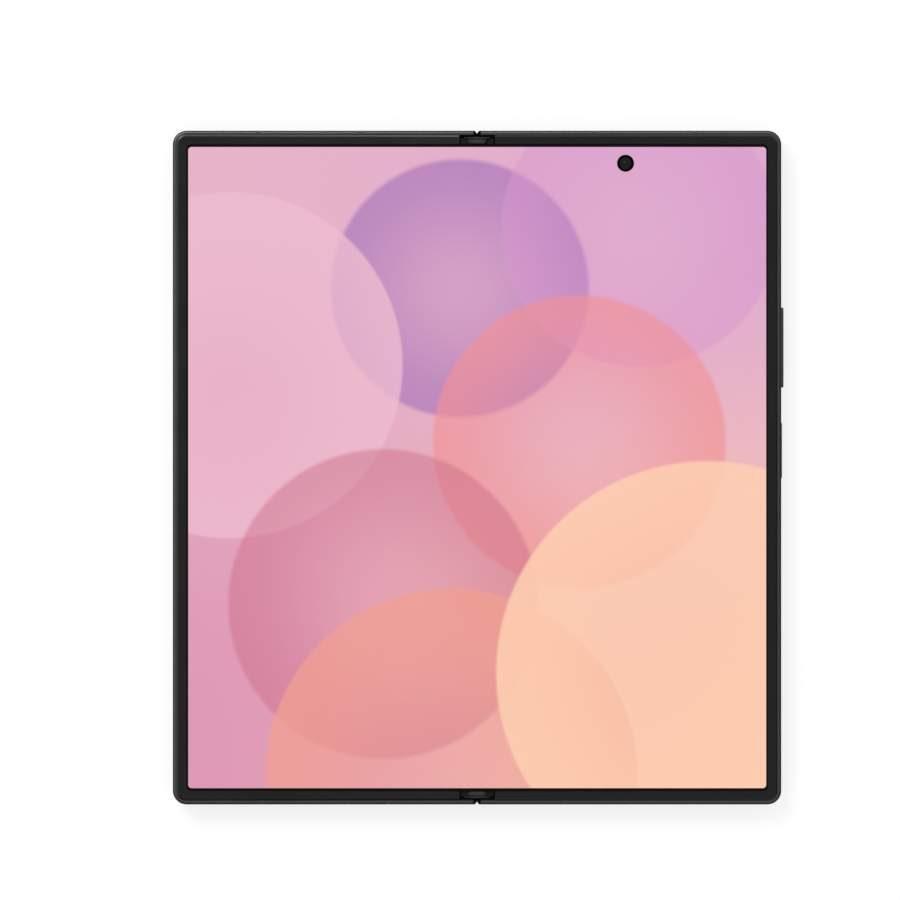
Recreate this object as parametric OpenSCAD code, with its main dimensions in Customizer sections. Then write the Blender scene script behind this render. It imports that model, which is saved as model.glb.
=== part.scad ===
// Book-style folding smartphone, lying open on its back, in millimetres.
// +X runs across the hinge, +Y along it, +Z out of the inner display.
// The origin is under the middle of the hinge, on the plane that the phone lies on.
// The right half carries the rear cameras, the left half the outer display,
// and a geared spine between them turns through a right angle to each half.

/* [Body] */
// Hinge line to the outer long edge of one half
half_w = 71.3; // [64:0.1:80]
// Length along the hinge
body_h = 157.9; // [148:0.1:170]
// Thickness of one half, back to the top of the raised bezel
body_t = 4.9; // [4.8:0.05:5.4]
// Radius of the outer corners
corner_r = 3.25; // [2.8:0.05:8]
// Width of the metal band, seen from the front
frame_w = 1.15; // [0.9:0.05:1.5]
// How far the metal band stays below the bezel
frame_drop = 0.15; // [0.05:0.05:0.4]
// Width of the ledge inside the band
ledge_w = 1.05; // [0.8:0.05:1.3]
// Rounding of the band's outer edges
edge_r = 0.55; // [0.2:0.05:0.9]
// Chamfer of the band's inner edge
inner_chamfer = 0.22; // [0.1:0.02:0.35]
// Thickness of the plate across the middle of each frame
midplate_t = 0.55; // [0.4:0.05:0.7]
// Thickness of the frame's wall beside the hinge
wall_t = 0.8; // [0.6:0.1:1.2]
// Thickness of the rear glass and of the frame's lip beside the hinge
back_t = 0.5; // [0.4:0.05:0.6]
// Width of the frame's lip beside the hinge
lip_w = 1.6; // [1.2:0.1:3]
// Gap round each glued-in glass
glass_gap = 0.05; // [0.02:0.01:0.15]
// Width of the plastic antenna breaks in the band
break_w = 1.2; // [0.8:0.1:2]
// Top edge, inner break to the hinge line
top_break_in = 27.4; // [20:0.1:34]
// Top edge, outer break to the long edge
top_break_out = 20.1; // [12:0.1:26]
// Bottom edge, inner break to the hinge line
bottom_break_in = 20.6; // [16:0.1:25]
// Bottom edge, outer break to the long edge
bottom_break_out = 20.9; // [20:0.1:23]
// Long edge of the left half, upper break to the top edge
side_break_top = 37.9; // [20:0.1:60]
// Long edge of the left half, lower break to the bottom edge
side_break_bottom = 42.4; // [20:0.1:60]

/* [Inner display] */
// Groove between the metal band and the bezel
groove_w = 0.2; // [0.1:0.05:0.4]
// Width of the raised bezel
bezel_w = 1.85; // [1.4:0.05:3]
// Radius of the bezel's inner corners
bezel_inner_r = 1.1; // [0.6:0.1:3]
// Depth of the display surface below the bezel
screen_drop = 0.25; // [0.1:0.05:0.4]
// Thickness of the flexible panel
panel_t = 0.45; // [0.3:0.05:0.5]
// Thickness of the panel's support plates
plate_t = 0.25; // [0.15:0.05:0.3]
// Half width of the strip that bends
fold_half = 6; // [5.6:0.1:8]
// Radius of the hole for the inner camera
punch_r = 1.9; // [1.4:0.1:2.4]
// Inner camera, distance from the line of the rear cameras' inner edge
punch_x = 0.5; // [0.3:0.1:12]
// Inner camera, distance from the top edge
punch_drop = 7.65; // [7:0.05:12]
// Side of the inner camera's module
inner_cam_w = 6; // [5:0.1:6.2]

/* [Hinge] */
// Height of the two hinge axes above the back
axis_z = 2.9; // [2.8:0.05:3]
// Gap between the two bezels when folded
fold_gap = 0.8; // [0.6:0.1:1.2]
// Half of the seam between the open halves
seam = 0.05; // [0.03:0.01:0.1]
// Running gap round the spine
spine_gap = 0.05; // [0.04:0.01:0.08]
// Wall of the spine cover
spine_wall = 0.35; // [0.25:0.05:0.45]
// Gap at each end of the spine
spine_end_gap = 0.2; // [0.1:0.05:0.5]
// Gap between the spine cover and the walls beside it
cavity_gap = 0.3; // [0.2:0.05:0.5]
// Distance of the hinge modules' gears from the top and bottom edges
module_y = 20.95; // [17:0.05:38]
// Radius of the hinge shafts
shaft_r = 0.35; // [0.25:0.05:0.38]
// Radial running clearance of the shafts
shaft_fit = 0.03; // [0.02:0.01:0.05]
// Teeth on each timing gear
teeth = 10; // [8:2:12]
// Width of the gears along their axes
gear_w = 3.6; // [2:0.2:5]
// Thickness of the hinge's side plates
side_plate_t = 1.2; // [0.8:0.1:1.6]
// Side clearance between moving hinge parts
side_gap = 0.2; // [0.1:0.05:0.3]
// Thickness of the sync arms
arm_t = 0.8; // [0.6:0.05:0.9]
// Length of the arms' feet, past the frame wall
foot_l = 6; // [5:0.5:8]
// Width of the raised T on the hinge caps
tee_w = 6; // [5:0.1:6.4]
// Depth of the T's bar along the hinge
tee_bar = 0.42; // [0.3:0.02:0.8]
// Width of the T's stem at the bar
stem_w = 4.7; // [4:0.1:5]
// Width of the T's stem at the display
stem_tip_w = 3.6; // [3:0.1:4]
// Width of the notch between the band ends
notch_w = 1.05; // [0.6:0.05:1.6]
// Depth of the notch between the band ends
notch_d = 0.55; // [0.3:0.05:0.9]

/* [Rear cameras] */
// Side of the square camera plateau
plateau_w = 32; // [30:0.5:36]
// Height of the plateau above the back
plateau_h = 0.9; // [0.6:0.1:1.4]
// Corner radius of the plateau
plateau_r = 7.5; // [5:0.5:10]
// Plateau to the outer long edge
plateau_x_gap = 4; // [3.5:0.1:8]
// Plateau to the top edge
plateau_y_gap = 4.5; // [4:0.1:10]
// Distance between neighbouring lens centres
lens_pitch = 15; // [14.2:0.1:15.4]
// Outer radius of a lens ring
ring_r = 6.3; // [6:0.1:6.8]
// Inner radius of a lens ring
ring_inner_r = 5; // [4.8:0.1:5.2]
// Height of a lens ring above the plateau
ring_h = 0.7; // [0.5:0.05:1]
// Side of a camera module inside
module_w = 10.4; // [10:0.1:11]
// Radius of the flash window
flash_r = 2.6; // [1.8:0.1:3.2]

/* [Buttons] */
// Height of both keys
key_h = 1.9; // [1.5:0.05:2]
// Height of the keys' middle above the back
key_z = 2.3; // [2.2:0.05:2.35]
// Clearance round a key
key_gap = 0.1; // [0.06:0.01:0.12]
// Thickness of the flange that keeps a key in
flange_t = 0.3; // [0.2:0.05:0.4]
// Volume rocker length
rocker_l = 18.8; // [16:0.1:22]
// Volume rocker, middle to the hinge's middle height
rocker_y = 28.15; // [26:0.05:32]
// Volume rocker, how far it stands out
rocker_out = 0.6; // [0.3:0.05:0.7]
// Power key length
power_l = 13.2; // [10:0.1:15]
// Power key, middle to the hinge's middle height
power_y = 4; // [2:0.05:6]
// Power key, how far it stands out
power_out = 0.25; // [0.25:0.05:0.5]
// Space behind a key's flange for its travel
key_travel_gap = 0.3; // [0.28:0.01:0.4]

/* [Ports] */
// Width of the USB opening
usb_w = 8.34; // [8.3:0.01:8.4]
// Height of the USB opening
usb_h = 2.56; // [2.5:0.01:2.6]
// Wall of the USB shell
usb_wall = 0.12; // [0.1:0.01:0.14]
// Depth of the USB shell
usb_l = 7; // [6.5:0.1:8]
// USB port, distance outwards from the middle of the right half
usb_x = 0; // [-2:0.1:0.8]
// Height of the port's middle above the back
port_z = 2.05; // [2:0.01:2.1]
// Radius of one speaker hole
sound_r = 0.55; // [0.4:0.05:0.7]
// Distance between speaker holes
sound_pitch = 2.2; // [1.8:0.1:2.4]
// Middle of the speaker, distance from the long edge
speaker_edge = 12.8; // [12:0.1:13.5]
// Radius of a microphone hole
mic_r = 0.4; // [0.3:0.05:0.5]
// Bottom microphone, distance from the middle of the USB port
mic_side = 9.3; // [6.5:0.1:10]
// Top microphone, distance from the hinge line
top_mic_x = 17.8; // [14:0.1:24]
// Width of the SIM tray's door
tray_w = 14; // [13:0.1:15]
// Height of the SIM tray's door
tray_door_h = 2.2; // [1.8:0.1:2.4]
// Radius of the tray's eject hole
eject_r = 0.4; // [0.3:0.05:0.5]
// Length of the SIM tray behind its door
tray_l = 15.5; // [14:0.1:17]
// Thickness of the SIM tray
tray_t = 0.8; // [0.6:0.05:1]
// Clearance round the SIM tray
tray_gap = 0.08; // [0.06:0.01:0.12]

/* [Outer display] */
// Thickness of the outer display's glass
cover_glass_t = 0.3; // [0.2:0.05:0.35]
// Black margin of the outer display
cover_margin = 1.2; // [0.8:0.1:3]
// Radius of the outer camera's window
cover_cam_r = 1.7; // [1.4:0.1:2.2]
// Outer camera, distance from the top edge
cover_cam_drop = 7.2; // [6:0.1:9]

/* [Inside] */
// Width of the main battery
battery_w = 33; // [28:0.5:34]
// Length of the main battery
battery_l = 98; // [80:1:99]
// Width of the second battery
battery2_w = 52; // [40:0.5:56]
// Length of the second battery
battery2_l = 98; // [80:1:99]
// Thickness of the circuit boards
board_t = 0.5; // [0.4:0.05:0.6]
// Height of the boards' underside above the back
board_z = 1.6; // [1.55:0.05:1.7]
// Width of the logic board
board_w = 24; // [21:0.5:25]
// Length of the logic board
board_l = 82; // [76:1:84]
// Logic board to the ledge inside the band
board_edge = 2.2; // [2:0.1:3]
// Logic board to the rear camera plateau
board_drop = 2; // [1.4:0.1:5]
// Least gap between the main battery and the logic board
battery_gap = 0.5; // [0.3:0.1:2]
// Margin of bare board round the shield cans
can_margin = 1; // [0.8:0.1:3]
// Width of the bare strip beside the shield cans
can_strip = 4.5; // [4:0.1:6]
// Length of bare board below the shield cans
can_foot = 8; // [6:0.5:12]
// Length of the lower shield can
can_l = 30; // [20:1:32]
// Distance between the small boards and the frame's hinge wall
sub_board_gap = 2.6; // [2:0.1:3]
// Width of the loudspeaker
speaker_w = 16; // [14:0.5:17]
// Width of the earpiece speaker
earpiece_w = 16; // [12:0.5:18]
// Length of the earpiece speaker
earpiece_l = 12; // [8:0.5:13]
// Earpiece speaker to the middle of the left half
earpiece_side = 3.4; // [3.2:0.1:5]
// Side of the outer camera's module
cover_cam_w = 6; // [5:0.1:6.2]
// Width of the vibration motor
motor_w = 9; // [8:0.5:12]
// Length of the vibration motor
motor_l = 10; // [8:0.5:14]
// Outer radius of the charging coil
coil_r = 20; // [14:0.5:22]
// Middle of the charging coil, below the middle of the phone
coil_drop = 10; // [0:1:20]
// Width of a latch magnet
magnet_w = 1.8; // [1.2:0.1:1.9]
// Length of a latch magnet
magnet_l = 14; // [8:0.5:15]
// Gap between the power key and the first magnet
magnet_gap = 6; // [3:0.5:8]
// Distance from one magnet to the next
magnet_pitch = 22; // [16:0.5:26]
// Width of the flat cable through the hinge
flex_w = 6; // [4:0.5:7]
// Thickness of the flat cable
flex_t = 0.12; // [0.1:0.01:0.2]
// Radius of the small screws
screw_r = 0.5; // [0.4:0.05:0.55]
// Radius of the small screws' heads
screw_head_r = 0.9; // [0.8:0.05:1]
// Gap between inner parts that don't touch
inside_gap = 0.3; // [0.2:0.05:0.4]

/* [Hidden] */
$fn = 48;

graphite = [0.25, 0.24, 0.245];
matte_black = [0.13, 0.13, 0.135];
glass_black = [0.04, 0.04, 0.05];
screen_pink = [0.9, 0.69, 0.76];
steel = [0.72, 0.73, 0.75];
board_green = [0.1, 0.28, 0.2];
foil_grey = [0.35, 0.36, 0.38];
copper = [0.72, 0.43, 0.25];

over = 1; // how far a cutter runs past the face it cuts
half_h = body_h / 2;
body_z = plateau_h + ring_h;

// Heights above the back
screen_z = body_t - screen_drop;
panel_z = screen_z - panel_t;
plate_z = panel_z - plate_t;
midplate_z = plate_z - midplate_t;
frame_top = body_t - frame_drop;

// Hinge geometry: both axes, and what the halves and the spine leave each other
axis_x = fold_gap / 2 + body_t - axis_z;
spine_r = axis_z - back_t - spine_gap;
spine_low = axis_z - spine_r;
spine_floor = spine_low + spine_wall;
spine_inner_r = spine_r - spine_wall;
cavity_x = axis_x + spine_r + cavity_gap;
spine_half = half_h - frame_w - spine_end_gap;
arm_low = axis_z - arm_t * 0.75;
arm_top = arm_low + arm_t;
spine_rim = arm_low - 0.1;
cap_top = screen_z - 0.05;
bezel_end = axis_x + cap_top + seam - axis_z;
cap_low = plate_z - 0.05;
cap_half = axis_x + 1.6;
foot_x = cavity_x + wall_t;

// Hinge module, along the hinge from the middle of its gears
gears_y = half_h - module_y;
gear_half = gear_w / 2;
plate_in = gear_half + side_gap;
plate_out = plate_in + side_plate_t;
cam_in = plate_out + side_gap;
cam_out = cam_in + side_plate_t;
disc_in = cam_out + 0.05;
disc_r = 0.95;
disc_t = 0.25;
disc_count = 6;
disc_step = 0.3;
disc_out = disc_in + disc_count * disc_step;
end_plate_out = disc_out + 1;
bracket_low = spine_floor;
bracket_top = axis_z - 1.15;
bracket_in = gear_half + 5.6;
bracket_out = end_plate_out + 3;
side_plate_top = midplate_z + 0.3;
shaft_seat = 0.01;
shaft_end = 0.2;
bracket_seat = 0.02;
bracket_screw_at = [gears_y - bracket_in + 1, gears_y + bracket_out - 1];
bracket_screw_r = 0.39;
bracket_screw_low = spine_floor - 0.18;
plate_half = axis_x + 0.85;
all_shafts = [-axis_x, -axis_x / 3, axis_x / 3, axis_x];
main_shafts = [-axis_x, axis_x];
arm_mid = (cam_out - gear_half) / 2;
arm_screw_at = [foot_x + foot_l * 0.3, foot_x + foot_l * 0.75];

// Timing gears: four equal gears span the two axes
gear_pitch_r = axis_x / 3;
gear_module = 2 * gear_pitch_r / teeth;
gear_tip_r = gear_pitch_r + 0.85 * gear_module;
gear_root_r = gear_pitch_r - 1.25 * gear_module;
half_tooth = 180 / teeth;

// Inner display
bezel_outer_x = frame_w + groove_w;
panel_inset = frame_w + groove_w + bezel_w + 0.05;

// Ledge and the space inside it
inner_x = half_w - frame_w - ledge_w;
inner_y = half_h - frame_w - ledge_w;
room_low = back_t + 0.25;
room_top = midplate_z - 0.1;

// Rear cameras
plateau_x = half_w - plateau_x_gap - plateau_w / 2;
plateau_y = half_h - plateau_y_gap - plateau_w / 2;
lens_at = [
    [plateau_x + lens_pitch / 2, plateau_y + lens_pitch / 2],
    [plateau_x + lens_pitch / 2, plateau_y - lens_pitch / 2],
    [plateau_x - lens_pitch / 2, plateau_y + lens_pitch / 2]
];
flash_at = [plateau_x - lens_pitch / 2, plateau_y - lens_pitch / 2];
plateau_seat = 0.9;
plateau_rim = 1;
lens_glass_z = 0.15;
lens_glass_t = 0.5;
barrel_z = lens_glass_z + lens_glass_t + 0.05;
barrel_r = ring_inner_r - 0.4;
pupil_r = 1.6;
pupil_d = 0.6;
punch_at = [plateau_x - plateau_w / 2 - punch_x, half_h - punch_drop];
punch_pupil_r = 0.9;

// Keys: each flange stands back from the wall by the key's free value
rocker_free = 0.28;
power_free = 0.05;
switch_r = 0.7;
switch_h = 0.6;
switch_base_x = inner_x - rocker_free - flange_t - key_travel_gap - switch_h;
switch_bracket_t = 0.4;
key_low = key_z - key_h / 2;
flange_over = 0.6;
magnet_top = power_y - power_l / 2 - magnet_gap;

// Places of sound holes, breaks, the tray and the outer camera
speaker_x = half_w - speaker_edge;
speaker_holes = 5;
port_x = half_w / 2 + usb_x;
mic_x = port_x + mic_side;
mic_l = 2.5;
mic_half_w = 1.5;
usb_end_t = 0.6;
tongue_w = 6.6;
tongue_t = 0.7;
earpiece_x = half_w / 2;
earpiece_holes = 4;
top_breaks = [top_break_in, half_w - top_break_out];
bottom_breaks = [bottom_break_in, half_w - bottom_break_out];
side_breaks = [half_h - side_break_top, side_break_bottom - half_h];
tray_x = half_w / 2;
tray_z = port_z;
tray_door_t = frame_w + 0.6;
card_w = tray_w - 1.2;
card_rim = 0.9;
card_end = 1.2;
cage_wall = 0.3;
cover_cam_at = [half_w / 2, half_h - cover_cam_drop];

// Boards and the batteries
battery_x = foot_x + inside_gap;
board_x = inner_x - board_edge - board_w;
board_y = plateau_y - plateau_w / 2 - board_drop - board_l;
sub_board_x = foot_x + sub_board_gap;
sub_board_end = speaker_x - speaker_w / 2 - inside_gap;
sub_board_low = -inner_y + inside_gap;
sub_board_top = -gears_y - end_plate_out + 3.4;
board_hole_r = screw_r + 0.1;
post_r = 1.2;
flex_y = sub_board_low + 4.2;
flex_z = board_z + board_t + 0.4;
coil_t = 0.2;

// Threaded posts for the boards' screws: three at the logic board, one at the sub-board
main_posts = [
    [board_x + 2, board_y + board_l - 2.5],
    [board_x + 2, board_y + 2.5],
    [board_x + board_w - 2.2, board_y + 2.5],
    [sub_board_x + 10, sub_board_top - 2]
];
cover_post = [sub_board_x + 6, sub_board_top - 2];

// A block given by its low and high corners
module block(low, high) {
    translate(low) cube(high - low);
}

// The same shape in the right half and, mirrored, in the left
module mirrored_left() {
    mirror([1, 0, 0]) children();
}

// The same shape at the top and, mirrored, at the bottom
module both_ends() {
    children();
    mirror([0, 1, 0]) children();
}

// A flat drawing, x across and y up, run along the hinge from y0 to y1
module along_y(y0, y1) {
    translate([0, y1, 0]) rotate([90, 0, 0]) linear_extrude(y1 - y0) children();
}

// A flat drawing, x along the hinge and y up, run across the phone from x0 to x1
module along_x(x0, x1) {
    translate([x0, 0, 0]) rotate([90, 0, 90]) linear_extrude(x1 - x0) children();
}

// An oblong with round ends
module oblong(l, h) {
    square([l - h, h], center = true);
    for (side = [-1, 1]) translate([side * (l - h) / 2, 0]) circle(h / 2);
}

// A rectangle with round corners
module round_square(w, h, r) {
    square([w - 2 * r, h], center = true);
    square([w, h - 2 * r], center = true);
    for (x = [-1, 1], y = [-1, 1]) translate([x * (w / 2 - r), y * (h / 2 - r)]) circle(r);
}

// Outline of the right half from x0 outwards, drawn in all round by inset
module half_outline(x0, inset, r) {
    x1 = half_w - inset;
    y1 = half_h - inset;
    translate([x0, -y1]) square([x1 - r - x0, 2 * y1]);
    translate([x0, r - y1]) square([x1 - x0, 2 * (y1 - r)]);
    for (side = [-1, 1]) translate([x1 - r, side * (y1 - r)]) circle(r);
}

// Section of the metal band and its ledge: outer face at x = 0, inwards is negative
module band_section(with_ledge) {
    difference() {
        union() {
            translate([-frame_w, 0]) square([frame_w, frame_top]);
            if (with_ledge)
                translate([-frame_w - ledge_w, back_t]) square([ledge_w + 0.1, plate_z - back_t]);
        }
        for (z = [edge_r, frame_top - edge_r]) difference() {
            translate([-edge_r, z > edge_r ? z : z - edge_r - over])
                square([edge_r + over, edge_r + over]);
            translate([-edge_r, z]) circle(edge_r);
        }
        polygon([
            [-frame_w - over, frame_top + over],
            [-frame_w - over, frame_top - inner_chamfer - over],
            [-frame_w + inner_chamfer + over, frame_top + over]
        ]);
    }
}

// The band round three sides of the right half
module band(with_ledge) {
    translate([half_w, half_h - corner_r, 0]) rotate([90, 0, 0])
        linear_extrude(body_h - 2 * corner_r) band_section(with_ledge);
    both_ends() {
        translate([seam, half_h, 0]) rotate([90, 0, 90])
            linear_extrude(half_w - corner_r - seam) band_section(with_ledge);
        translate([half_w - corner_r, half_h - corner_r, 0])
            rotate_extrude(angle = 90) translate([corner_r, 0]) band_section(with_ledge);
    }
}

// What the band's end loses beside the hinge: the swing of the other half, and the notch
module band_end_cut() {
    along_y(-half_h - over, half_h + over) difference() {
        translate([-over, axis_z]) square([axis_x + over, body_t]);
        translate([axis_x, axis_z]) circle(axis_x - seam);
    }
    notch_slope = notch_w / 2 / notch_d;
    both_ends() translate([0, half_h, -over]) linear_extrude(body_t + 2 * over)
        polygon([[-over, over], [-over, -notch_d], [0, -notch_d], [(notch_d + over) * notch_slope, over]]);
}

// Frame of the right half before its own openings
module frame_blank() {
    difference() {
        union() {
            band(true);
            translate([0, 0, midplate_z]) linear_extrude(midplate_t)
                half_outline(cavity_x, frame_w + ledge_w / 2, corner_r - frame_w - ledge_w / 2);
            block([cavity_x, 0.1 - half_h + frame_w, back_t],
                  [foot_x, half_h - frame_w - 0.1, midplate_z + 0.1]);
            block([seam, frame_w - half_h - 0.1, 0], [lip_w, half_h - frame_w + 0.1, back_t]);
        }
        block([-over, frame_w - half_h, back_t], [cavity_x, half_h - frame_w, body_t + over]);
        band_end_cut();
        both_ends() translate([0, gears_y, 0]) {
            block([cavity_x - over, -gear_half - side_gap, arm_low - side_gap],
                  [foot_x + over, cam_out + side_gap, midplate_z]);
            for (x = arm_screw_at) translate([x, arm_mid, midplate_z - over])
                cylinder(r = screw_r, h = over + midplate_t * 0.7);
        }
        block([cavity_x - over, flex_y - flex_w / 2 - side_gap, flex_z - side_gap],
              [foot_x + over, flex_y + flex_w / 2 + side_gap, flex_z + flex_t + side_gap]);
    }
}

// A slab across the band at the top edge
module top_break(x) {
    block([x - break_w / 2, half_h - frame_w, -over], [x + break_w / 2, half_h + over, body_t]);
}

module breaks(on_top, on_bottom, on_side) {
    for (x = on_top) top_break(x);
    for (x = on_bottom) mirror([0, 1, 0]) top_break(x);
    for (y = on_side)
        block([half_w - frame_w, y - break_w / 2, -over], [half_w + over, y + break_w / 2, body_t]);
}

// A row of sound holes through the bottom band
module sound_holes(x, count) {
    for (i = [0:count - 1]) translate([x + (i - (count - 1) / 2) * sound_pitch, 0, port_z])
        rotate([90, 0, 0]) cylinder(r = sound_r, h = half_h + over);
}

module mic_hole(x) {
    translate([x, 0, port_z]) rotate([90, 0, 0]) cylinder(r = mic_r, h = half_h + over);
}

// A threaded post under the middle plate, and the hole in it
module post_at(p) {
    post_low = board_z + board_t;
    translate([p[0], p[1], post_low]) cylinder(r = post_r, h = midplate_z - post_low + 0.1);
}

module post_hole_at(p) {
    translate([p[0], p[1], board_z]) cylinder(r = screw_r, h = midplate_z - board_z);
}

module key_slot(y, l) {
    along_x(inner_x - over, half_w + over) translate([y, key_z])
        oblong(l + 2 * key_gap, key_h + 2 * key_gap);
}

module main_frame() {
    color(graphite) translate([0, 0, body_z]) difference() {
        union() {
            frame_blank();
            for (p = main_posts) post_at(p);
        }
        for (p = main_posts) post_hole_at(p);
        breaks(top_breaks, bottom_breaks, []);
        key_slot(rocker_y, rocker_l);
        key_slot(power_y, power_l);
        along_y(-half_h - over, usb_l + over - half_h) translate([port_x, port_z])
            oblong(usb_w + 2 * usb_wall + 0.04, usb_h + 2 * usb_wall + 0.04);
        sound_holes(speaker_x, speaker_holes);
        mic_hole(mic_x);
        mirror([0, 1, 0]) mic_hole(top_mic_x);
        translate([punch_at[0], punch_at[1], 0]) cylinder(r = punch_r + 0.3, h = body_t);
    }
}

module cover_frame() {
    color(graphite) mirrored_left() translate([0, 0, body_z]) difference() {
        union() {
            frame_blank();
            post_at(cover_post);
        }
        post_hole_at(cover_post);
        breaks(top_breaks, bottom_breaks, side_breaks);
        along_y(-half_h - over, frame_w + ledge_w + over - half_h) translate([tray_x, tray_z])
            oblong(tray_w + 2 * tray_gap, tray_door_h + 2 * tray_gap);
        mirror([0, 1, 0]) sound_holes(earpiece_x, earpiece_holes);
    }
}

module antenna_breaks_main() {
    color(matte_black) translate([0, 0, body_z]) intersection() {
        band(false);
        breaks(top_breaks, bottom_breaks, []);
    }
}

module antenna_breaks_cover() {
    color(matte_black) mirrored_left() translate([0, 0, body_z]) intersection() {
        band(false);
        breaks(top_breaks, bottom_breaks, side_breaks);
    }
}

// Raised bezel round three sides of the right half of the display
module bezel() {
    translate([0, 0, body_z + plate_z]) linear_extrude(body_t - plate_z) difference() {
        half_outline(bezel_end, bezel_outer_x, corner_r - bezel_outer_x);
        half_outline(bezel_end - over, bezel_outer_x + bezel_w, bezel_inner_r);
    }
}

module main_bezel() {
    color(matte_black) bezel();
}

module cover_bezel() {
    color(matte_black) mirrored_left() bezel();
}

// One layer of the display on the right half
module display_layer(z, t, inset) {
    translate([0, 0, body_z + z]) linear_extrude(t) half_outline(fold_half, inset, bezel_inner_r);
}

module punch_cut(r) {
    translate([punch_at[0], punch_at[1], body_z]) cylinder(r = r, h = body_t);
}

module display_right() {
    color(screen_pink) difference() {
        display_layer(panel_z, panel_t, panel_inset);
        punch_cut(punch_r);
    }
}

module support_plate_right() {
    color(steel) difference() {
        display_layer(plate_z, plate_t, panel_inset + 0.1);
        punch_cut(punch_r + 0.3);
    }
}

module display_left() {
    color(screen_pink) mirrored_left() display_layer(panel_z, panel_t, panel_inset);
}

module support_plate_left() {
    color(steel) mirrored_left() display_layer(plate_z, plate_t, panel_inset + 0.1);
}

// The part of the panel that bends
module display_fold() {
    color(screen_pink) block(
        [-fold_half, panel_inset - half_h, body_z + panel_z],
        [fold_half, half_h - panel_inset, body_z + screen_z]);
}

module rear_glass() {
    color(matte_black) translate([0, 0, body_z]) difference() {
        linear_extrude(back_t) half_outline(lip_w + glass_gap, frame_w + glass_gap,
                                            corner_r - frame_w - glass_gap);
        translate([plateau_x, plateau_y, -over]) linear_extrude(back_t + 2 * over)
            round_square(plateau_w - 2 * plateau_seat, plateau_w - 2 * plateau_seat,
                         plateau_r - plateau_seat);
    }
}

// Metal plateau that carries the lens rings, with a rim set into the glass
module camera_plateau() {
    rim = plateau_seat + glass_gap;
    hollow_w = plateau_w - 2 * (rim + plateau_rim);
    color(graphite) translate([0, 0, body_z - plateau_h]) difference() {
        translate([plateau_x, plateau_y, 0]) union() {
            linear_extrude(plateau_h) round_square(plateau_w, plateau_w, plateau_r);
            linear_extrude(plateau_h + back_t)
                round_square(plateau_w - 2 * rim, plateau_w - 2 * rim, plateau_r - rim);
        }
        translate([plateau_x, plateau_y, plateau_h]) linear_extrude(back_t + over)
            round_square(hollow_w, hollow_w, plateau_r - rim - plateau_rim);
        for (p = lens_at) translate([p[0], p[1], -over]) cylinder(r = ring_inner_r + 0.3, h = 3);
        translate([flash_at[0], flash_at[1], -over]) cylinder(r = flash_r + glass_gap, h = 3);
    }
}

// Ring on the plateau with a collar down its hole
module lens_rings() {
    color(steel) for (p = lens_at) translate([p[0], p[1], 0]) difference() {
        union() {
            cylinder(r = ring_r, h = ring_h);
            cylinder(r = ring_inner_r + 0.25, h = ring_h + plateau_h);
        }
        translate([0, 0, -over]) cylinder(r = ring_inner_r, h = ring_h + plateau_h + 2 * over);
    }
}

module lens_glasses() {
    color(glass_black) for (p = lens_at) translate([p[0], p[1], lens_glass_z])
        cylinder(r = ring_inner_r - 0.02, h = lens_glass_t);
}

module camera_modules() {
    color(matte_black) for (p = lens_at) translate([p[0], p[1], 0]) difference() {
        union() {
            translate([0, 0, barrel_z]) cylinder(r = barrel_r, h = body_z);
            translate([-module_w / 2, -module_w / 2, body_z + back_t + 0.1])
                cube([module_w, module_w, midplate_z - back_t - 0.1]);
        }
        translate([0, 0, barrel_z - over]) cylinder(r = pupil_r, h = pupil_d + over);
    }
}

module flash_window() {
    color(steel) translate([flash_at[0], flash_at[1], body_z - plateau_h + 0.05])
        cylinder(r = flash_r, h = plateau_h + 0.3);
}

module inner_camera() {
    case_low = back_t + inside_gap;
    color(glass_black) translate([punch_at[0], punch_at[1], body_z]) difference() {
        union() {
            translate([-inner_cam_w / 2, -inner_cam_w / 2, case_low])
                cube([inner_cam_w, inner_cam_w, midplate_z - case_low]);
            translate([0, 0, case_low]) cylinder(r = punch_r - 0.2, h = panel_z + 0.1 - case_low);
        }
        translate([0, 0, panel_z - 0.3]) cylinder(r = punch_pupil_r, h = 1);
    }
}

module inner_camera_window() {
    color(glass_black) translate([punch_at[0], punch_at[1], body_z + panel_z + 0.1])
        cylinder(r = punch_r - 0.02, h = panel_t - 0.1);
}

// The main battery keeps clear of the logic board, also where that lies further in
module battery_main() {
    color(foil_grey) translate([0, 0, body_z]) difference() {
        block([battery_x, -battery_l / 2, room_low], [battery_x + battery_w, battery_l / 2, room_top]);
        block([board_x - battery_gap, board_y - battery_gap, room_low - over],
              [inner_x, battery_l / 2 + over, room_top + over]);
    }
}

module logic_board() {
    color(board_green) translate([0, 0, body_z]) difference() {
        block([board_x, board_y, board_z], [board_x + board_w, board_y + board_l, board_z + board_t]);
        for (i = [0:2]) translate([main_posts[i][0], main_posts[i][1], board_z - over])
            cylinder(r = board_hole_r, h = 3);
    }
}

// Sheet-metal boxes over the chips on both faces of the logic board
module shield_cans() {
    can_end = board_w - can_margin;
    split = can_foot + can_l;
    color(steel) translate([board_x, board_y, body_z]) {
        block([can_strip, can_foot, board_z + board_t], [can_end, split, room_top]);
        block([can_strip, split + 2 * can_margin, board_z + board_t],
              [can_end, board_l - 2 * can_margin, room_top]);
        block([can_strip, can_foot, room_low], [can_end, board_l - 12 * can_margin, board_z]);
    }
}

module sub_board() {
    notch_x = usb_w / 2 + usb_wall + inside_gap;
    color(board_green) translate([0, 0, body_z]) difference() {
        block([sub_board_x, sub_board_low, board_z], [sub_board_end, sub_board_top, board_z + board_t]);
        block([port_x - notch_x, -half_h, board_z - over],
              [port_x + notch_x, usb_l + inside_gap - half_h, board_z + board_t + over]);
        translate([main_posts[3][0], main_posts[3][1], board_z - over]) cylinder(r = board_hole_r, h = 3);
    }
}

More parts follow.
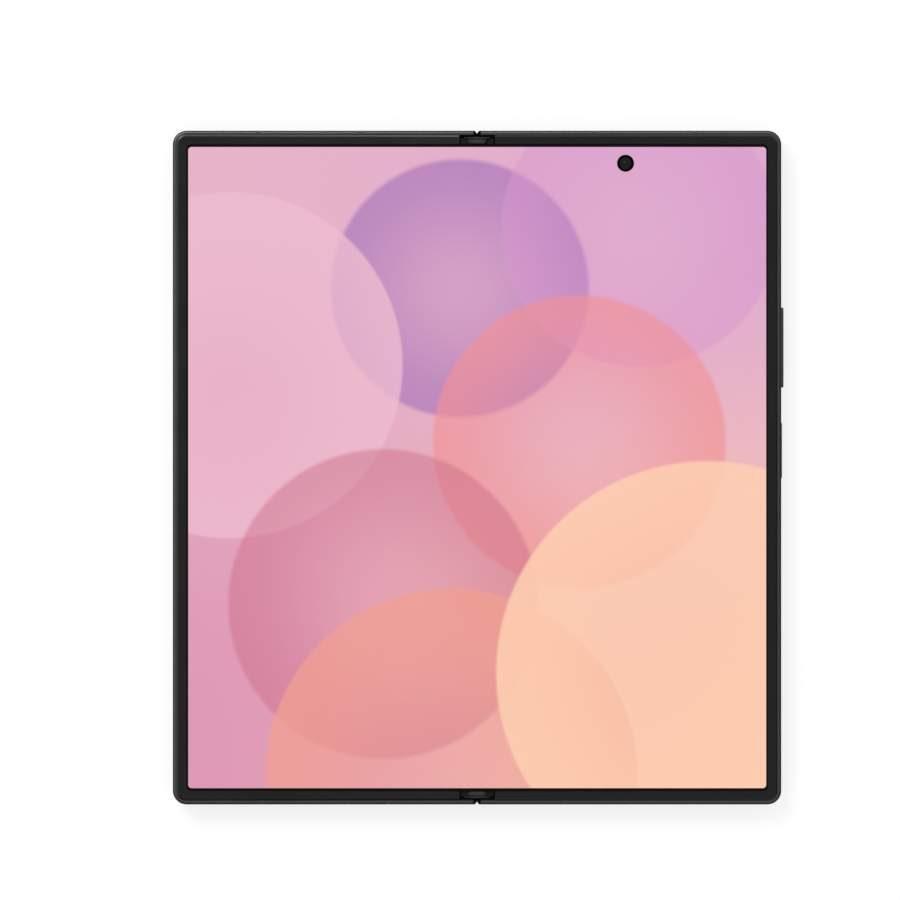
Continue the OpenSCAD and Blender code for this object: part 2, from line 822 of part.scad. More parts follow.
// Metal shell of the USB-C socket, closed at its inner end
module usb_shell() {
    color(steel) translate([port_x, 0, body_z + port_z]) difference() {
        along_y(0.1 - half_h, usb_l - half_h) oblong(usb_w + 2 * usb_wall, usb_h + 2 * usb_wall);
        along_y(-half_h, usb_l - half_h - usb_end_t) oblong(usb_w, usb_h);
    }
}

module usb_tongue() {
    color(matte_black) translate([port_x, 0, body_z + port_z])
        along_y(tongue_t - half_h, usb_l - half_h - usb_end_t) square([tongue_w, tongue_t], center = true);
}

module speaker_main() {
    color(matte_black) translate([0, 0, body_z])
        block([speaker_x - speaker_w / 2, -inner_y + 0.05, room_low],
              [speaker_x + speaker_w / 2, sub_board_top, room_top]);
}

module microphones() {
    color(steel) translate([0, 0, body_z]) {
        block([mic_x - mic_half_w, sub_board_low, board_z + board_t],
              [mic_x + mic_half_w, sub_board_low + mic_l, board_z + board_t + 0.9]);
        block([top_mic_x - mic_half_w, inner_y - 0.1 - mic_l, midplate_z - 1.4],
              [top_mic_x + mic_half_w, inner_y - 0.1, midplate_z]);
    }
}

// Flat coil for wireless charging, behind the rear glass and midway across the half
module charging_coil() {
    color(copper) translate([half_w / 2, -coil_drop, body_z + back_t]) difference() {
        cylinder(r = coil_r, h = coil_t);
        translate([0, 0, -over]) cylinder(r = coil_r / 2, h = coil_t + 2 * over);
    }
}

// Dome switches behind the keys
module side_switch(y, free) {
    along_x(switch_base_x, inner_x - free - flange_t - key_travel_gap) translate([y, key_z])
        circle(switch_r);
}

module side_switches() {
    color(steel) translate([0, 0, body_z]) {
        for (side = [-1, 1]) side_switch(rocker_y + side * rocker_l * 0.35, rocker_free);
        side_switch(power_y, power_free);
    }
}

module switch_bracket() {
    color(steel) translate([0, 0, body_z])
        block([switch_base_x - switch_bracket_t, power_y - power_l / 2 - flange_over, key_low - 0.1],
              [switch_base_x, rocker_y + rocker_l / 2 + flange_over, midplate_z]);
}

// A key: its cap in the slot and the flange that keeps it in
module key(y, l, out, free) {
    back = inner_x - free;
    along_x(back - 0.05, half_w + out) translate([y, key_z]) oblong(l, key_h);
    along_x(back - flange_t, back) translate([y, key_z])
        square([l + 2 * flange_over, key_h], center = true);
}

module volume_rocker() {
    color(graphite) translate([0, 0, body_z]) key(rocker_y, rocker_l, rocker_out, rocker_free);
}

module power_key() {
    color(graphite) translate([0, 0, body_z]) key(power_y, power_l, power_out, power_free);
}

// Bars along the outer edge that hold the closed halves together
module magnets() {
    color(steel) for (i = [0, 1]) translate([inner_x - 0.1, magnet_top - i * magnet_pitch, body_z])
        block([-magnet_w, -magnet_l, room_low], [0, 0, midplate_z]);
}

module latch_magnets_main() {
    magnets();
}

module latch_magnets_cover() {
    mirrored_left() magnets();
}

module board_screws() {
    color(steel) translate([0, 0, body_z]) for (p = main_posts) translate([p[0], p[1], 0]) {
        translate([0, 0, board_z - 0.5]) cylinder(r = screw_head_r, h = 0.5);
        translate([0, 0, board_z - 0.1]) cylinder(r = screw_r - 0.01, h = midplate_z - board_z - 0.1);
    }
}

// Spine cover: its corners turn about the two hinge axes
module spine_section(r, low) {
    for (side = [-1, 1]) translate([side * axis_x, axis_z]) circle(r);
    translate([-axis_x, low]) square([2 * axis_x, axis_z - low]);
}

module hinge_cover() {
    color(graphite) translate([0, 0, body_z]) difference() {
        along_y(-spine_half, spine_half) intersection() {
            spine_section(spine_r, spine_low);
            translate([-2 * axis_x, 0]) square([4 * axis_x, spine_rim]);
        }
        along_y(-spine_half + 0.8, spine_half - 0.8) spine_section(spine_inner_r, spine_floor);
        both_ends() for (y = bracket_screw_at) translate([0, y, spine_floor - 0.2])
            cylinder(r = 0.4, h = 1);
    }
}

// One side plate of a bracket, with a hole for each shaft it holds
module side_plate(y0, y1, holes) {
    along_y(y0, y1) difference() {
        intersection() {
            translate([-plate_half, bracket_low]) square([2 * plate_half, side_plate_top - bracket_low]);
            union() {
                spine_section(spine_inner_r - bracket_seat, bracket_low);
                translate([-plate_half, axis_z]) square([2 * plate_half, body_t]);
            }
        }
        for (x = holes) translate([x, axis_z]) circle(shaft_r + shaft_seat);
    }
}

module hinge_brackets() {
    color(steel) translate([0, 0, body_z]) both_ends() translate([0, gears_y, 0]) {
        difference() {
            block([-axis_x, -bracket_in, bracket_low], [axis_x, bracket_out, bracket_top]);
            for (y = bracket_screw_at) translate([0, y - gears_y, 0])
                cylinder(r = bracket_screw_r + 0.03, h = body_t);
        }
        side_plate(-plate_out, -plate_in, all_shafts);
        side_plate(plate_in, plate_out, all_shafts);
        side_plate(disc_out, end_plate_out, main_shafts);
    }
}

module hinge_shafts() {
    color(steel) translate([0, 0, body_z]) both_ends() translate([0, gears_y, 0]) {
        along_y(-plate_out - shaft_end, end_plate_out + shaft_end)
            for (x = main_shafts) translate([x, axis_z]) circle(shaft_r);
        along_y(-plate_out - shaft_end, plate_out)
            for (x = [-gear_pitch_r, gear_pitch_r]) translate([x, axis_z]) circle(shaft_r);
    }
}

// Spring washers that press on the arms' cams
module friction_discs() {
    color(steel) translate([0, 0, body_z]) both_ends() translate([0, gears_y, 0])
        for (i = [0:disc_count - 1], x = main_shafts)
            along_y(disc_in + i * disc_step, disc_in + i * disc_step + disc_t)
                translate([x, axis_z]) difference() {
                    circle(disc_r);
                    circle(shaft_r + 0.02);
                }
}

module bracket_screws() {
    color(steel) translate([0, 0, body_z]) both_ends() for (y = bracket_screw_at) translate([0, y, 0]) {
        translate([0, 0, bracket_top]) cylinder(r = 2 * bracket_screw_r, h = 0.4);
        translate([0, 0, bracket_screw_low])
            cylinder(r = bracket_screw_r, h = bracket_top - bracket_screw_low + 0.1);
    }
}

// Outline of a timing gear: six points to a tooth
function tooth(k, turn) = [
    for (p = [
        [gear_root_r, -0.29], [gear_pitch_r, -0.2], [gear_tip_r, -0.1],
        [gear_tip_r, 0.1], [gear_pitch_r, 0.2], [gear_root_r, 0.29]
    ])
    let (a = (k + p[1]) * 360 / teeth + turn)
    [p[0] * cos(a), p[0] * sin(a)]
];

module gear_outline(turn) {
    difference() {
        polygon([for (k = [0:teeth - 1]) each tooth(k, turn)]);
        circle(shaft_r + shaft_fit);
    }
}

// Arm on one half of the phone: a timing gear and a friction cam on one plate
module sync_arm(turn) {
    plate_start = axis_x + 1.35;
    plate_end = foot_x + foot_l;
    translate([0, gears_y, body_z]) difference() {
        union() {
            along_y(-gear_half, gear_half) translate([axis_x, axis_z]) rotate(turn) gear_outline(0);
            along_y(-gear_half, gear_half)
                translate([axis_x + gear_root_r - 0.1, arm_low]) square([plate_start - axis_x, arm_t]);
            along_y(cam_in, cam_out) translate([axis_x, axis_z]) circle(disc_r);
            block([axis_x, cam_in, arm_low], [plate_start + 0.2, cam_out, arm_top]);
            block([plate_start, -gear_half, arm_low], [plate_end, cam_out, arm_top]);
            block([foot_x + 0.1, -gear_half, arm_low], [plate_end, cam_out, midplate_z]);
        }
        along_y(cam_in - over, cam_out + over) translate([axis_x, axis_z]) circle(shaft_r + shaft_fit);
        for (x = arm_screw_at) translate([x, arm_mid, 0]) cylinder(r = screw_r + 0.05, h = body_t);
    }
}

module sync_arms_main() {
    color(steel) both_ends() sync_arm(half_tooth);
}

module sync_arms_cover() {
    color(steel) mirrored_left() both_ends() sync_arm(0);
}

module arm_screws() {
    both_ends() for (x = arm_screw_at) translate([x, gears_y + arm_mid, body_z]) {
        translate([0, 0, arm_low - 0.4]) cylinder(r = screw_head_r, h = 0.4);
        translate([0, 0, arm_low - 0.1])
            cylinder(r = screw_r - 0.01, h = midplate_z - arm_low + midplate_t * 0.6);
    }
}

module arm_screws_main() {
    color(steel) arm_screws();
}

module arm_screws_cover() {
    color(steel) mirrored_left() arm_screws();
}

module idler(x, turn) {
    color(steel) translate([0, 0, body_z]) both_ends() translate([0, gears_y, 0])
        along_y(-gear_half, gear_half) translate([x, axis_z]) gear_outline(turn);
}

module idler_gears_right() {
    idler(gear_pitch_r, 0);
}

module idler_gears_left() {
    idler(-gear_pitch_r, half_tooth);
}

// Dark cap at the top end of the spine, with a raised T beside the display
module hinge_cap() {
    bar_y = spine_half - 0.1;
    stem_y = bar_y - tee_bar - 0.18;
    stem_end = half_h - panel_inset + 0.35;
    color(matte_black) translate([0, 0, body_z]) {
        block([-cap_half, stem_end - 0.3, spine_rim], [cap_half, spine_half, cap_low]);
        block([-tee_w / 2, bar_y - tee_bar, cap_low], [tee_w / 2, bar_y, cap_top]);
        translate([0, 0, cap_low]) linear_extrude(cap_top - cap_low) polygon([
            [-stem_w / 2, stem_y], [-stem_tip_w / 2, stem_end],
            [stem_tip_w / 2, stem_end], [stem_w / 2, stem_y]
        ]);
    }
}

module hinge_cap_top() {
    hinge_cap();
}

module hinge_cap_bottom() {
    mirror([0, 1, 0]) hinge_cap();
}

// Flat cable from board to board, dipping into the spine
module hinge_flex() {
    flat_x = foot_x + 4.2;
    edge_x = axis_x + 1.7;
    low = spine_floor + 0.5;
    dip = axis_x - 0.4;
    line = [
        [-flat_x, flex_z], [-edge_x, flex_z], [-dip, low],
        [dip, low], [edge_x, flex_z], [flat_x, flex_z]
    ];
    color(copper) translate([0, 0, body_z]) along_y(flex_y - flex_w / 2, flex_y + flex_w / 2)
        polygon([for (p = line) p, for (i = [len(line) - 1:-1:0]) line[i] + [0, flex_t]]);
}

module cover_glass() {
    color(glass_black) mirrored_left() translate([0, 0, body_z]) linear_extrude(cover_glass_t)
        half_outline(lip_w + glass_gap, frame_w + glass_gap, corner_r - frame_w - glass_gap);
}

module cover_panel() {
    color(glass_black) mirrored_left() translate([0, 0, body_z]) difference() {
        translate([0, 0, cover_glass_t]) linear_extrude(back_t - cover_glass_t)
            half_outline(lip_w + cover_margin, frame_w + cover_margin, corner_r - frame_w);
        translate([cover_cam_at[0], cover_cam_at[1], 0]) cylinder(r = cover_cam_r, h = back_t + over);
    }
}

module cover_camera() {
    color(matte_black) mirrored_left() translate([cover_cam_at[0], cover_cam_at[1], body_z]) {
        translate([0, 0, cover_glass_t]) cylinder(r = cover_cam_r - 0.1, h = 1);
        translate([-cover_cam_w / 2, -cover_cam_w / 2, back_t + 0.1])
            cube([cover_cam_w, cover_cam_w, midplate_z - back_t - 0.1]);
    }
}

module battery_cover() {
    color(foil_grey) mirrored_left() translate([0, 0, body_z])
        block([battery_x, -battery2_l / 2, back_t + 0.1],
              [battery_x + battery2_w, battery2_l / 2, room_top]);
}

module cover_board() {
    color(board_green) mirrored_left() translate([0, 0, body_z]) difference() {
        block([sub_board_x, sub_board_low, board_z],
              [tray_x - tray_w / 2 - 0.6, sub_board_top, board_z + board_t]);
        translate([cover_post[0], cover_post[1], 0]) cylinder(r = board_hole_r, h = 4);
    }
}

module earpiece_speaker() {
    color(matte_black) mirrored_left() translate([half_w / 2 + earpiece_side, 0, body_z])
        block([0, inner_y - earpiece_l, back_t + 0.1], [earpiece_w, inner_y - 0.05, room_top]);
}

module vibration_motor() {
    motor_end = inner_x - 10 * inside_gap;
    motor_low = -inner_y + 4;
    color(steel) mirrored_left() translate([0, 0, body_z])
        block([motor_end - motor_w, motor_low, back_t + 0.1], [motor_end, motor_low + motor_l, room_top]);
}

// Sheet-metal cage round the card tray
module sim_reader() {
    slot_half = card_w / 2 + tray_gap;
    slot_low = tray_z - tray_t / 2 - tray_gap;
    slot_top = tray_z + tray_t / 2 + tray_gap;
    y0 = -inner_y + 0.05;
    y1 = y0 + tray_l + 1;
    color(steel) mirrored_left() translate([tray_x, 0, body_z]) difference() {
        block([-slot_half - cage_wall, y0, slot_low - cage_wall],
              [slot_half + cage_wall, y1, slot_top + cage_wall]);
        block([-slot_half, y0 - over, slot_low], [slot_half, y1 - cage_wall, slot_top]);
    }
}

// Card tray: a door flush with the band and a frame that holds the card
module sim_tray() {
    door_in = tray_door_t - half_h;
    eject_x = -tray_w / 2 + 1.6;
    color(graphite) mirrored_left() translate([tray_x, 0, body_z]) difference() {
        union() {
            along_y(-half_h, door_in) translate([0, tray_z]) oblong(tray_w, tray_door_h);
            block([-card_w / 2, door_in - 0.2, tray_z - tray_t / 2],
                  [card_w / 2, door_in + tray_l, tray_z + tray_t / 2]);
        }
        block([card_rim - card_w / 2, door_in + card_end, tray_z - tray_t / 4],
              [card_w / 2 - card_rim, door_in + tray_l - card_end, tray_z + tray_t]);
        translate([eject_x, -half_h - over, tray_z]) rotate([-90, 0, 0])
            cylinder(r = eject_r, h = tray_door_t / 2 + over);
    }
}

main_frame();
main_bezel();
display_right();
support_plate_right();
rear_glass();
camera_plateau();
lens_rings();
lens_glasses();
camera_modules();
flash_window();
inner_camera();
inner_camera_window();
battery_main();
logic_board();
shield_cans();
sub_board();
usb_shell();
usb_tongue();
speaker_main();
charging_coil();
side_switches();
switch_bracket();
antenna_breaks_main();
microphones();
sync_arms_main();
arm_screws_main();
board_screws();
latch_magnets_main();
volume_rocker();
power_key();
hinge_cover();
hinge_brackets();
hinge_shafts();
friction_discs();
bracket_screws();
hinge_cap_top();
hinge_cap_bottom();
display_fold();
hinge_flex();
idler_gears_right();
idler_gears_left();
cover_frame();
cover_bezel();
display_left();
support_plate_left();
cover_glass();
cover_panel();
cover_camera();
battery_cover();
cover_board();
earpiece_speaker();
vibration_motor();
sim_reader();
antenna_breaks_cover();
sync_arms_cover();
arm_screws_cover();
latch_magnets_cover();
sim_tray();
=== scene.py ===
"""A book-style folding phone, unfolded and lit, seen straight from the front.

The CAD solids are the frame. This script gives each of them a procedural material, and puts
finished pieces in place of the ones that show most: the bezels, the strip of display that bends,
the hinge caps, the keys, the cameras, the flash, the outer display and the flat cable. It adds
the contacts in the USB socket, and the beads and pads that close the seams.

Sizes are in millimetres, and heights are above the floor. The helpers turn them into metres.
Profiles are points of (radius, height) or (inset, height), in order round the section.
"""

import math

import bmesh
import bpy
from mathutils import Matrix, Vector


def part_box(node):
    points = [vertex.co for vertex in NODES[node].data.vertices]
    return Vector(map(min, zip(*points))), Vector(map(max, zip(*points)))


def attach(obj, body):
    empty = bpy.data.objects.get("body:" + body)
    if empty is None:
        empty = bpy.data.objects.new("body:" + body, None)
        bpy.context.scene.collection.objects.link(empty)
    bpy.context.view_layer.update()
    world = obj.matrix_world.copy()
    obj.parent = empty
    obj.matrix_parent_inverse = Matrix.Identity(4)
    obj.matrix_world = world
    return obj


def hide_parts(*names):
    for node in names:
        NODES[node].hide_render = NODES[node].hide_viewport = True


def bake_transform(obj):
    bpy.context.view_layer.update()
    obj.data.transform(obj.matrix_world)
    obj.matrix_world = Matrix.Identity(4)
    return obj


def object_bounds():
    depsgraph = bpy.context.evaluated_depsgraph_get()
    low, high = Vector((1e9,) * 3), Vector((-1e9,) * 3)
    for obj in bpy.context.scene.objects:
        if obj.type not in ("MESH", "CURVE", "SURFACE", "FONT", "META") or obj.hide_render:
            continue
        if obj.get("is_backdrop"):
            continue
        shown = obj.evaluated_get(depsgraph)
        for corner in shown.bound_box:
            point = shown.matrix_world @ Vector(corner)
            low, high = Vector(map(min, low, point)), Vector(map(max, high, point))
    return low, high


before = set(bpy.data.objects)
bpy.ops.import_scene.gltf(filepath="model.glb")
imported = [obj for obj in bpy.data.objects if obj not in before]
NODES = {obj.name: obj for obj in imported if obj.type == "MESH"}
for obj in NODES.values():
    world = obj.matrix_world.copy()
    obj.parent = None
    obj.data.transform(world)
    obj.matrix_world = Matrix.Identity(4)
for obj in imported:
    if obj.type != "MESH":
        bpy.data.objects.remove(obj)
CAD_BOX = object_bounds()

MM = 0.001

# Meshes
CORNER_STEPS = 16
ROUND_STEPS = 96
SMALL_STEPS = 64
DOME_STEPS = 48
SHARP_ANGLE = 35

# Body: the rear cameras' rings lie on the floor, and hold the backs of both halves at BACK_Z
HALF_W = 71.3
HALF_H = 78.95
BACK_Z = 1.6
CORNER_R = 3.25
FRAME_TOP = BACK_Z + 4.75
FRAME_EDGE_R = 0.55

# Display: the panel, the lit area in it, and the camera hole
PANEL_LOW = BACK_Z + 4.2
PANEL_TOP = BACK_Z + 4.65
PANEL_HALF_H = 75.7
FOLD_HALF = 6.0
FOLD_STEPS = 36
LIT_X = 0.04
LIT_HALF_W = 67.7
LIT_HALF_H = 75.1
LIT_CORNER_R = 0.8
LIT_BLUR = 0.03
PUNCH_AT = (34.8, 71.3)
PUNCH_RIM_R = 2.0

# Bezel: a lip on the frame, a shoulder as (inset past the lip, height above the frame), a flat
BEZEL_END = 4.15
BEZEL_END_R = 0.08
BEZEL_OUT = 1.2
BEZEL_IN = 3.2
BEZEL_LOW = BACK_Z + 3.95
BEZEL_TOP = BACK_Z + 4.9
BEZEL_OUT_R = 1.9
BEZEL_IN_R = 1.1
LIP_IN = 0.98
LIP_DROP = 0.26
SHOULDER = ((0, 0.004), (0.07, 0.045), (0.15, 0.085), (0.23, 0.115), (0.33, 0.14))
FLAT_FROM = (0.45, 0.55)

# Flat cable: its line as (x, height) from the middle to where it runs level
FLEX_T = 0.12
FLEX_REACH = 4.8
FLEX_STEP = 0.35
FLEX_LOW = BACK_Z + 1.4
FLEX_RUN = BACK_Z + 2.5
FLEX_LINE = ((0.0, FLEX_LOW), (1.2, FLEX_LOW), (2.0, FLEX_LOW + 0.02), (2.6, FLEX_LOW + 0.25),
             (3.2, FLEX_LOW + 0.6), (3.7, FLEX_LOW + 0.93), (4.1, FLEX_RUN - 0.02),
             (FLEX_REACH, FLEX_RUN))

# Hinge caps: a block with a shelf, and a T of bar and stem
CAP_HALF = 4.0
CAP_Y = (75.75, 77.08)
CAP_Z = (BACK_Z + 2.2, BACK_Z + 3.9)
CAP_POCKET = 1.0
CAP_OVERLAP = 0.1
CAP_EDGE_R = 0.1
TEE_HALF = 3.0
TEE_Y = (77.08, 77.42)
TEE_TOP = BACK_Z + 4.6
# Painted shade: the T is painted darker from the first distance from the middle to the second
TEE_PAINTED_SHADE = (0.8, 2.6)
STEM_Y = (75.92, 76.9)
STEM_HALF = (1.8, 2.35)

# Keys: the cap, its crowned face, and the flange behind the band
KEY_Z = BACK_Z + 2.3
KEY_H = 1.9
KEY_EDGE_R = 0.22
KEY_CROWN = 0.03
KEY_CROWN_INSETS = (0.42, 0.7)
KEY_BACK_X = {"volume_rocker": 68.82, "power_key": 69.05}
KEY_FLANGE_T = 0.3
KEY_FLANGE_OVER = 0.6
KEY_FLANGE_R = 0.15
KEY_FLANGE_EDGE = 0.05

# Rear cameras: they point down, so their fronts are the lowest
GLASS_TOP = BACK_Z + 0.5
PLATEAU_AT = (51.3, 58.45)
PLATEAU_HALF = 16.0
PLATEAU_R = 7.5
PLATEAU_LOW = 0.7
PLATEAU_EDGE_R = 0.4
PLATEAU_RIM = 0.95
PLATEAU_WALL = 1.0
LENSES = ((58.8, 65.95), (58.8, 50.95), (43.8, 65.95))
LENS_HOLE = ((5.45, 0.5), (5.45, 0.7), (5.3, 0.8), (5.3, 3))
LENS_RING_INSIDE = ((5.0, 1.6), (5.0, 0.5), (5.12, 0.3), (5.35, 0.08), (5.45, 0.02), (5.6, 0.0),
                    (5.95, 0.0))
LENS_RING_EDGE_R = 0.32
LENS_RING_EDGE_AT = 5.98
LENS_RING_OUTSIDE = ((6.3, 0.7), (5.25, 0.7), (5.25, 1.6))
LENS_PANE = ((0.4, 0.65), (4.93, 0.65), (4.98, 0.6), (4.98, 0.2), (4.93, 0.15), (0.4, 0.15))
LENS_BARREL = ((1.2, 2.3), (4.6, 2.3), (4.6, 0.76), (4.54, 0.7), (3.75, 0.7), (3.7, 0.74),
               (3.66, 0.86), (3.2, 0.88), (3.15, 0.9), (3.1, 1.02), (2.6, 1.05), (2.55, 1.08),
               (2.5, 1.2), (2.0, 1.24), (1.9, 1.4), (1.2, 1.45))
LENS_CASE_HALF = 5.2
LENS_CASE_Z = (2.2, 5.0)
LENS_DOME = ((1.95, 1.45), 1.93, 1.42, -0.42)

# Flash: a ribbed window, with two lamps drawn behind it
FLASH_AT = (43.8, 50.95)
FLASH_R = 2.6
FLASH_HOLE = ((2.8, 0.5), (2.8, 0.7), (2.65, 0.85), (2.65, 3))
FLASH_RIB_PITCH = 0.36
FLASH_RIBS = 6
FLASH_Z = (0.8, 1.95)
LAMP_X = 0.75
LAMP_HALF = (0.6, 0.7)

# Inner camera, below the hole in the display
INNER_PANE = ((0.3, 6.25), (1.88, 6.25), (1.88, 5.93), (0.3, 5.93))
INNER_BARREL = ((0.3, 5.0), (1.7, 5.0), (1.7, 5.9), (1.44, 5.9), (1.4, 5.86), (0.62, 5.8),
                (0.56, 5.7), (0.3, 5.7))
INNER_RIM = (1.34, 1.42)
INNER_CASE_HALF = 3.0
INNER_CASE_Z = (2.4, 5.05)
INNER_DOME = ((0.57, 5.7), 0.55, 5.71, 0.1)

# Outer display and its camera, behind the glass of the cover half
OUTER_LIT_X = 35.9
OUTER_LIT_HALF = (32.2, 75.2)
OUTER_INSET = 1.2
OUTER_CORNER_R = 2.0
OUTER_END = 1.67
OUTER_Z = (1.93, 2.1)
OUTER_CAMERA = (-35.65, 71.75)
OUTER_HOLE = ((1.7, 1.5), (1.7, 3.0))
OUTER_RING = ((0.9, 2.35), (0.9, 2.05), (1.0, 1.99), (1.2, 1.97), (1.5, 1.95), (1.6, 1.99),
              (1.6, 2.35))
OUTER_CASE_HALF = 2.3
OUTER_CASE_LOW = 2.25
OUTER_DOME = ((0.92, 2.3), 0.91, 2.2, -0.14)

# Middle of the charging coil
COIL_AT = (35.65, -10)

# USB contacts, on both faces of the tongue
CONTACTS = 12
CONTACT_PITCH = 0.5
CONTACT_HALF_W = 0.12
CONTACT_FROM_END = (0.4, 2.4)
CONTACT_SUNK = 0.01
CONTACT_PROUD = 0.02

# Bead round each back glass, its bar along the hinge, and the pads in the seam
BEAD_Z = (1.66, 2.06)
BEAD_INSET = (1.14, 1.21)
BEAD_END = 1.62
BAR_X = (1.59, 1.66)
BAR_HALF = 77.8
PAD_X = (-0.07, 0.04)
PAD_Y = (77.62, 78.34)
PAD_Z = (BACK_Z + 0.2, BACK_Z + 2.7)

# Camera: lens and sensor, width of the view at the display, and the middle of the view
CAMERA_LENS = 300.0
CAMERA_SENSOR = 36.0
VIEW_W = 210.85
VIEW_AT = (-6.33, 4.12)

# Floor, in metres
FLOOR_HALF = 4.0
FLOOR_Z = -0.0002

# Lamps: name, direction, distance and width in metres, and power
LAMPS = (
    ("key_lamp", (-0.55, 0.85, 1.1), 2.0, 1.1, 17.0),
    ("fill_lamp", (0.4, -0.8, 1.2), 2.2, 1.6, 4.0),
)

# Studio that reflections show. Heights run from -1 below to 1 overhead; a light is given as
# where it starts and ends along LIGHT_WAY, and its strength at either end.
LIGHT_WAY = (-0.35, 0.9, 0.0)
SUNK = (-0.15, -0.4)
RAISED = (0.35, 0.55)
OVERHEAD = (0.78, 0.96)
UNDER_LIGHT = (-0.5, 0.5, 0.7, 1.3)
LOW_LIGHT = (-0.8, 0.8, 0.2, 0.45)
RAISED_LIGHT = (-0.3, 0.3, 0.02, 1.3)
OVERHEAD_LIGHT = 0.3
SOFT_LIGHT = 0.55


# ---------------------------------------------------------------- mesh helpers


def arc(start, end, steps, r=1.0):
    """Points of a circle round the origin, from one angle in degrees to another."""
    turns = [math.radians(start + (end - start) * i / steps) for i in range(steps + 1)]
    return [(r * math.cos(t), r * math.sin(t)) for t in turns]


def circle(r, steps=ROUND_STEPS):
    return arc(0, 360, steps, r)[:-1]


def round_box(half_w, half_h, r, steps=CORNER_STEPS):
    """Loop of a rectangle with round corners, round the origin."""
    loop = []
    for i, (sx, sy) in enumerate(((1, 1), (-1, 1), (-1, -1), (1, -1))):
        cx, cy = sx * (half_w - r), sy * (half_h - r)
        loop += [(cx + x, cy + y) for x, y in arc(90 * i, 90 * i + 90, steps, r)]
    return loop


def at_height(loop, z, at=(0, 0)):
    return [(x + at[0], y + at[1], z) for x, y in loop]


def loft(loops, ring=False):
    """Quads between loops of equal length, closed on itself or with a face at each end."""
    n, count = len(loops[0]), len(loops)
    faces = []
    for i in range(count if ring else count - 1):
        a, b = i * n, (i + 1) % count * n
        faces += [(a + j, a + (j + 1) % n, b + (j + 1) % n, b + j) for j in range(n)]
    if not ring:
        faces += [tuple(range(n)), tuple(range((count - 1) * n, count * n))]
    return [p for loop in loops for p in loop], faces


def turned(profile, at, steps=ROUND_STEPS, ring=True):
    """A profile of (radius, height) points turned round an upright line."""
    return loft([at_height(circle(r, steps), z, at) for r, z in profile], ring)


def dome(foot, r, z, rise, end=84, steps=8):
    """Profile of a front lens: its foot, and a dome that starts at a radius and a height."""
    return [foot] + [(r * c, z + rise * s) for c, s in arc(0, end, steps)]


def piece(name, shells, body=None, replaces=(), slot=None, material=None, sharp=SHARP_ANGLE):
    """One mesh object from one or more closed shells of points in millimetres."""
    verts, faces = [], []
    for shell_verts, shell_faces in shells:
        base = len(verts)
        verts += [tuple(c * MM for c in p) for p in shell_verts]
        faces += [tuple(base + i for i in face) for face in shell_faces]
    mesh = bpy.data.meshes.new(name)
    mesh.from_pydata(verts, [], faces)
    bm = bmesh.new()
    bm.from_mesh(mesh)
    bmesh.ops.recalc_face_normals(bm, faces=bm.faces)
    bm.to_mesh(mesh)
    bm.free()
    mesh.shade_smooth()
    mesh.set_sharp_from_angle(angle=math.radians(sharp))
    obj = bpy.data.objects.new(name, mesh)
    bpy.context.scene.collection.objects.link(obj)
    if material:
        mesh.materials.append(material)
    if body:
        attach(obj, body)
    if replaces:
        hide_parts(*replaces)
    return obj


def bevel(obj, width):
    """Rounds the sharp edges of a piece."""
    edge = obj.modifiers.new("edge", "BEVEL")
    edge.width = width * MM
    edge.segments = 3
    edge.limit_method = "ANGLE"
    edge.harden_normals = True


def lets_light_in(obj):
    """A clear pane that only the camera sees, so what is behind it is lit evenly."""
    obj.visible_shadow = False
    obj.visible_diffuse = False
    obj.visible_glossy = False


def cut(obj, cutters):
    """Cuts the closed shells out of a piece, for good."""
    tool = piece("cutter", cutters)
    hole = obj.modifiers.new("cut", "BOOLEAN")
    hole.operation = "DIFFERENCE"
    hole.solver = "EXACT"
    hole.object = tool
    bpy.context.view_layer.update()
    graph = bpy.context.evaluated_depsgraph_get()
    done = bpy.data.meshes.new_from_object(obj.evaluated_get(graph))
    obj.modifiers.clear()
    obj.data = done
    bpy.data.objects.remove(tool)
    done.shade_smooth()
    done.set_sharp_from_angle(angle=math.radians(SHARP_ANGLE))
    flat = obj.modifiers.new("flat", "WEIGHTED_NORMAL")
    flat.keep_sharp = True


def upright_box(half, r, heights, at):
    """A box with a square outline and round corners, between two heights."""
    return loft([at_height(round_box(half, half, r, 4), z, at) for z in heights])


def prism(points, low, high):
    return loft([at_height(points, low), at_height(points, high)])


# ---------------------------------------------------------------- material helpers


# Size of the slow changes of tone and gloss
CLOUD = 9.0


def srgb(r, g, b):
    """Colour written as 0-255 screen values, as a linear colour."""
    def lin(v):
        v /= 255
        return v / 12.92 if v <= 0.04045 else ((v + 0.055) / 1.055) ** 2.4
    return (lin(r), lin(g), lin(b), 1.0)


